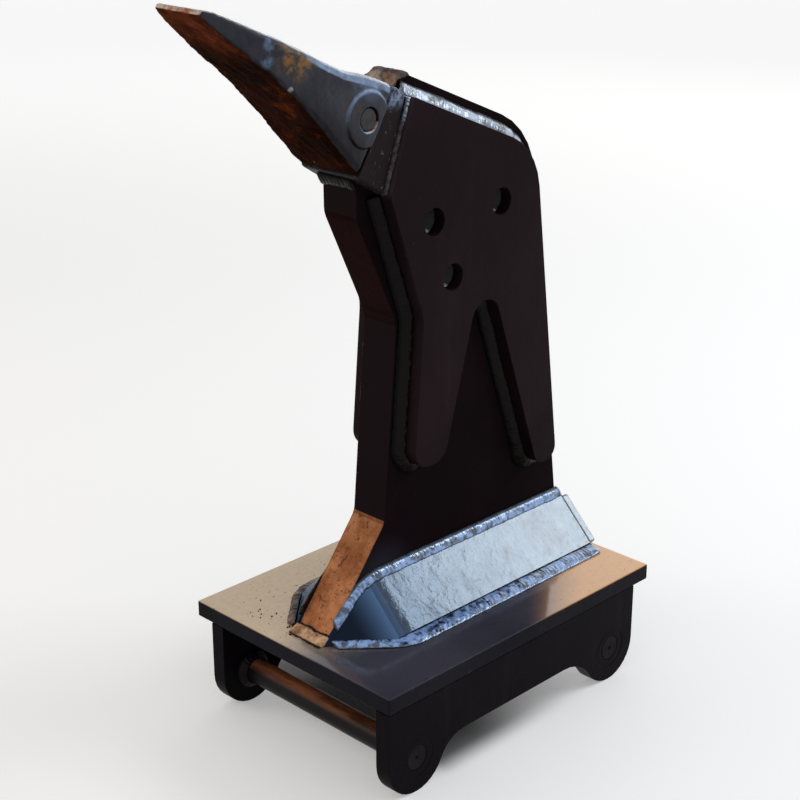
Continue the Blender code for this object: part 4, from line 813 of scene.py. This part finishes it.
def make_beads():
    """Every weld bead of the part."""
    # How far a way at 45 degrees reaches along each of its two axes
    half = math.sqrt(0.5)
    for label, side in (("right", 1), ("left", -1)):
        path = [tuple(spot(side * CHEEK_WELD_X, y, z)) for y, z in CHEEK_EDGE]
        piece = bead(
            "cheek_weld_" + label, DARK_WELD, cheek_facing(side), path,
            pitch=0.0055, depth=0.0004, voxel=0.0013, seed=side, lumps=0.0009,
        )
        sheen_on_top(piece, CHEEK_SHEEN_HEIGHT)
        # The bottom bead's painted seam shade is fainter on the side of the base plate
        for place, seed, faint in (("top", 2.0, 1.0), ("bottom", 4.0, 0.45)):
            bead(
                f"gusset_{place}_weld_{label}",
                GUSSET_WELD if side == 1 else LEFT_WELD,
                fixed(side * half, 0.0, half),
                pitch=0.0064, depth=0.0006, seed=seed + side, lumps=0.0006,
                seam_shades=(1.0, faint) if side == 1 else (faint, 1.0),
            )
        bead("gusset_rear_weld_" + label, DARK_WELD, fixed(side, 1.0, 0.2), axis=2, seed=6.0 + side)
        bead("ear_weld_" + label, DARK_WELD, fixed(-side * half, 0.0, -half), voxel=0.0013, seed=8.0 + side)
        piece = bead("adapter_side_weld_" + label, SIDE_WELD, fixed(side, 0.0, 0.0), axis=2, seed=10.0 + side)
        sheen_on_top(piece, ADAPTER_SHEEN_HEIGHT)
        for index in (1, 2, 3):
            name = f"plug_weld_{label}_{index}"
            low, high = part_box(name)
            middle = (low + high) / 2
            path = ring_path(middle.x, middle.y, middle.z, PLUG_RING)
            piece = bead(name, PLUG_WELD, fixed(side, 0.0, 0.0), path, depth=0.0002, voxel=0.0008, seed=index)
            mark_glint(piece.data, middle, (high.z - low.z) / 2)
    bead("ear_weld_outer_left", DARK_WELD, fixed(-half, 0.0, -half), voxel=0.0013, seed=12.0)
    bead("foot_weld_front", RUST_WELD, fixed(0.0, -1.0, 0.7), axis=0, depth=0.0009, seed=13.0, lumps=0.0026)
    bead("foot_weld_rear", DARK_WELD, fixed(0.0, 1.0, 1.0), axis=0, voxel=0.0009, seed=14.0)
    bead("adapter_bottom_weld", DARK_WELD, fixed(0.0, -1.0, -0.4), axis=0, seed=15.0)
    bead("adapter_top_weld", LUMP_WELD, fixed(0.0, -0.3, 1.0), axis=0, depth=0.0008, seed=16.0, lumps=0.0020)
    for place in ("front", "rear"):
        low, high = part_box("hitch_bar_" + place)
        middle = (low + high) / 2
        for label, side in (("right", 1), ("left", -1)):
            name = f"bar_fillet_weld_{place}_{label}"
            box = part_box(name)
            path = ring_path((box[0].x + box[1].x) / 2, middle.y, middle.z, BAR_RING)
            bead(name, DARK_WELD, around_bar(-side, middle.y, middle.z), path, seed=18.0 + side)


def sheen_on_top(piece, height):
    """The welds are glossy, with a painted pale sheen, from a height over the base plate up, along the
    shank's top.
    """
    piece.data.materials.append(TOP_WELD)
    for face in piece.data.polygons:
        if face.center.z > PLATE_TOP + height:
            face.material_index = 1


def mark_glint(mesh, middle, radius):
    """Store how near each point of a plug weld is to the lower front of its hole, for its painted glint."""
    forward, down = 0.55, 0.83
    co, _ = points_of(mesh)
    toward = (middle.y - co[:, 1]) * forward + (middle.z - co[:, 2]) * down
    glint = mesh.attributes.new("glint", "FLOAT", "POINT")
    glint.data.foreach_set("value", (toward / radius).astype(np.float32))


def make_tooth():
    """The tooth with a forged skin: soft edges, shallow hollows, and a pitted underside."""
    mesh = remeshed("tooth", voxel=0.0014)
    co, normal = points_of(mesh)
    skin = lumpy(co, size=0.028, seed=3.0)
    pits = lumpy(co, size=0.009, seed=5.0)
    below = np.clip((normal @ np.array(TOOTH_DOWN) - 0.35) / 0.3, 0.0, 1.0)
    # The skin starts a little inside the CAD tooth, so that its lumps stay in the CAD box
    shrink = 0.0004
    lift = 0.00045 * skin + 0.0003 * pits + below * (0.0010 * skin + 0.0005 * pits) - shrink
    co += normal * lift[:, None]
    mesh.vertices.foreach_set("co", co.ravel())
    mesh.materials.clear()
    mesh.materials.append(tooth_side())
    mesh.materials.append(tooth_under())
    mesh.update()
    # The underside and the tip's front have the second material
    for face in mesh.polygons:
        downward = TOOTH_DOWN[1] * face.normal.y + TOOTH_DOWN[2] * face.normal.z
        forward = TOOTH_AHEAD[1] * face.normal.y + TOOTH_AHEAD[2] * face.normal.z
        if downward > 0.62 or forward > 0.75:
            face.material_index = 1
    piece = bpy.data.objects.new("forged_tooth", mesh)
    bpy.context.scene.collection.objects.link(piece)
    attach(piece, "root")
    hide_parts("tooth")


# How many beads of spatter, and the seed of their places and sizes
SPATTER_COUNT = 46
SPATTER_SEED = 7


def make_spatter():
    """Beads of weld spatter stuck to the base plate beside the foot."""
    dice = random.Random(SPATTER_SEED)
    work = bmesh.new()
    for _ in range(SPATTER_COUNT):
        x = dice.uniform(-0.125, 0.03)
        # In front of the foot's weld, or anywhere along the plate's left edge
        y = dice.uniform(-0.205, -0.178) if x > -0.095 else dice.uniform(-0.19, 0.10)
        size = dice.uniform(0.0005, 0.0012)
        place = Matrix.Translation(spot(x, y, size * 0.3))
        bmesh.ops.create_icosphere(work, subdivisions=1, radius=size, matrix=place)
    mesh = bpy.data.meshes.new("weld_spatter")
    work.to_mesh(mesh)
    work.free()
    for face in mesh.polygons:
        face.use_smooth = True
    mesh.materials.append(DARK_WELD)
    piece = bpy.data.objects.new("weld_spatter", mesh)
    bpy.context.scene.collection.objects.link(piece)
    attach(piece, "root")


make_beads()
make_tooth()
make_spatter()


# Studio

# The floor's size and its greys: the open floor's, and the darker one under the base plate, a painted shadow
FLOOR_SIZE = 30.0
FLOOR_GREY = (0.80, 0.80, 0.80, 1.0)
SHADED_GREY = (0.25, 0.25, 0.25, 1.0)
WHITE = (1.0, 1.0, 1.0, 1.0)
# The camera, solved from the photo: its lens and sensor in mm, its place, and the way it looks
LENS = 76.5
SENSOR = 36.0
CAMERA_PLACE = (1.2640, -1.3245, 0.9475)
CAMERA_LOOK = (-0.65551473, 0.66242418, -0.36262191)
# The lamps: name, place, aim, size, radiance and colour
MIDDLE = (0.0, 0.0, 0.35)
LAMPS = (
    ("key", (1.50, 2.30, 2.05), (0.07, 0.11, 0.18), (1.5, 1.2), 7.0, (0.88, 0.94, 1.0)),
    ("front", (-1.75, -1.65, 1.45), MIDDLE, (1.3, 1.1), 2.5, (1.0, 0.86, 0.72)),
    ("rear", (-1.5, 3.4, 1.9), MIDDLE, (2.6, 1.4), 1.0, (1.0, 0.96, 0.90)),
)


def area_light(name, position, aim, size, radiance, colour):
    """A soft lamp. Its energy follows from its size and its radiance."""
    light = bpy.data.lights.new(name, "AREA")
    light.shape = "RECTANGLE"
    light.size, light.size_y = size
    light.energy = radiance * math.pi * size[0] * size[1]
    light.color = colour
    holder = bpy.data.objects.new(name, light)
    bpy.context.scene.collection.objects.link(holder)
    holder.location = position
    holder.rotation_euler = (Vector(aim) - Vector(position)).to_track_quat("-Z", "Y").to_euler()


def make_floor():
    """A pale floor that glows more with distance, so that it meets the world without an edge. Under the base
    plate it is a painted shadow: darker and without glow.
    """
    bpy.ops.mesh.primitive_plane_add(size=FLOOR_SIZE, location=(0.0, 0.0, 0.0))
    floor = bpy.context.object
    floor.name = "studio_floor"
    material, g = new_material("studio_floor", 0.1)
    ray = g.nodes.new("ShaderNodeLightPath").outputs
    seen = g.most(ray["Is Camera Ray"], ray["Is Glossy Ray"], ray["Is Transmission Ray"])
    beyond = g.flip(g.near(0.0, 0.0, None, 1.6, 4.5))
    far_off = g.flip(g.near(0.0, 0.0, None, 4.5, 11.0))
    # A painted shadow: the floor behind the front bar, under the base plate, is a darker grey and doesn't
    # glow, as the photo is black there
    under_x = g.times(g.span(g.x, 0.13, 0.17, 1.0, 0.0), g.span(g.x, -0.22, -0.15))
    under_y = g.times(g.span(g.y, -0.095, -0.062), g.span(g.y, 0.0, 0.20, 1.0, 0.0))
    open_floor = g.flip(g.times(under_x, under_y))
    g.set(g.mix(open_floor, SHADED_GREY, FLOOR_GREY), 0.9)
    level = g.add(g.times(beyond, 0.19), 0.30, g.times(far_off, 0.17))
    g.shader.inputs["Emission Color"].default_value = WHITE
    g.put(g.shader.inputs["Emission Strength"], g.times(seen, level, open_floor))
    floor.data.materials.append(material)


def make_world():
    """A white world behind the floor. It lights the part with half the strength it is seen with."""
    world = bpy.data.worlds.new("studio")
    bpy.context.scene.world = world
    world.use_nodes = True
    tree = world.node_tree
    back = tree.nodes["Background"]
    back.inputs["Color"].default_value = WHITE
    ray = tree.nodes.new("ShaderNodeLightPath").outputs
    seen = ray["Is Camera Ray"]
    for kind in ("Is Glossy Ray", "Is Transmission Ray"):
        either = tree.nodes.new("ShaderNodeMath")
        either.operation = "MAXIMUM"
        tree.links.new(seen, either.inputs[0])
        tree.links.new(ray[kind], either.inputs[1])
        seen = either.outputs[0]
    level = tree.nodes.new("ShaderNodeMapRange")
    tree.links.new(seen, level.inputs["Value"])
    level.inputs["To Min"].default_value = 0.5
    level.inputs["To Max"].default_value = 1.0
    tree.links.new(level.outputs[0], back.inputs["Strength"])


def make_camera():
    """A camera at the photo's angle."""
    camera = bpy.data.cameras.new("camera")
    camera.lens = LENS
    camera.sensor_width = SENSOR
    holder = bpy.data.objects.new("camera", camera)
    bpy.context.scene.collection.objects.link(holder)
    holder.location = spot(*CAMERA_PLACE)
    holder.rotation_euler = Vector(CAMERA_LOOK).to_track_quat("-Z", "Y").to_euler()
    bpy.context.scene.camera = holder


make_floor()
make_world()
for lamp in LAMPS:
    area_light(*lamp)
make_camera()
bpy.context.scene.view_settings.view_transform = "Standard"
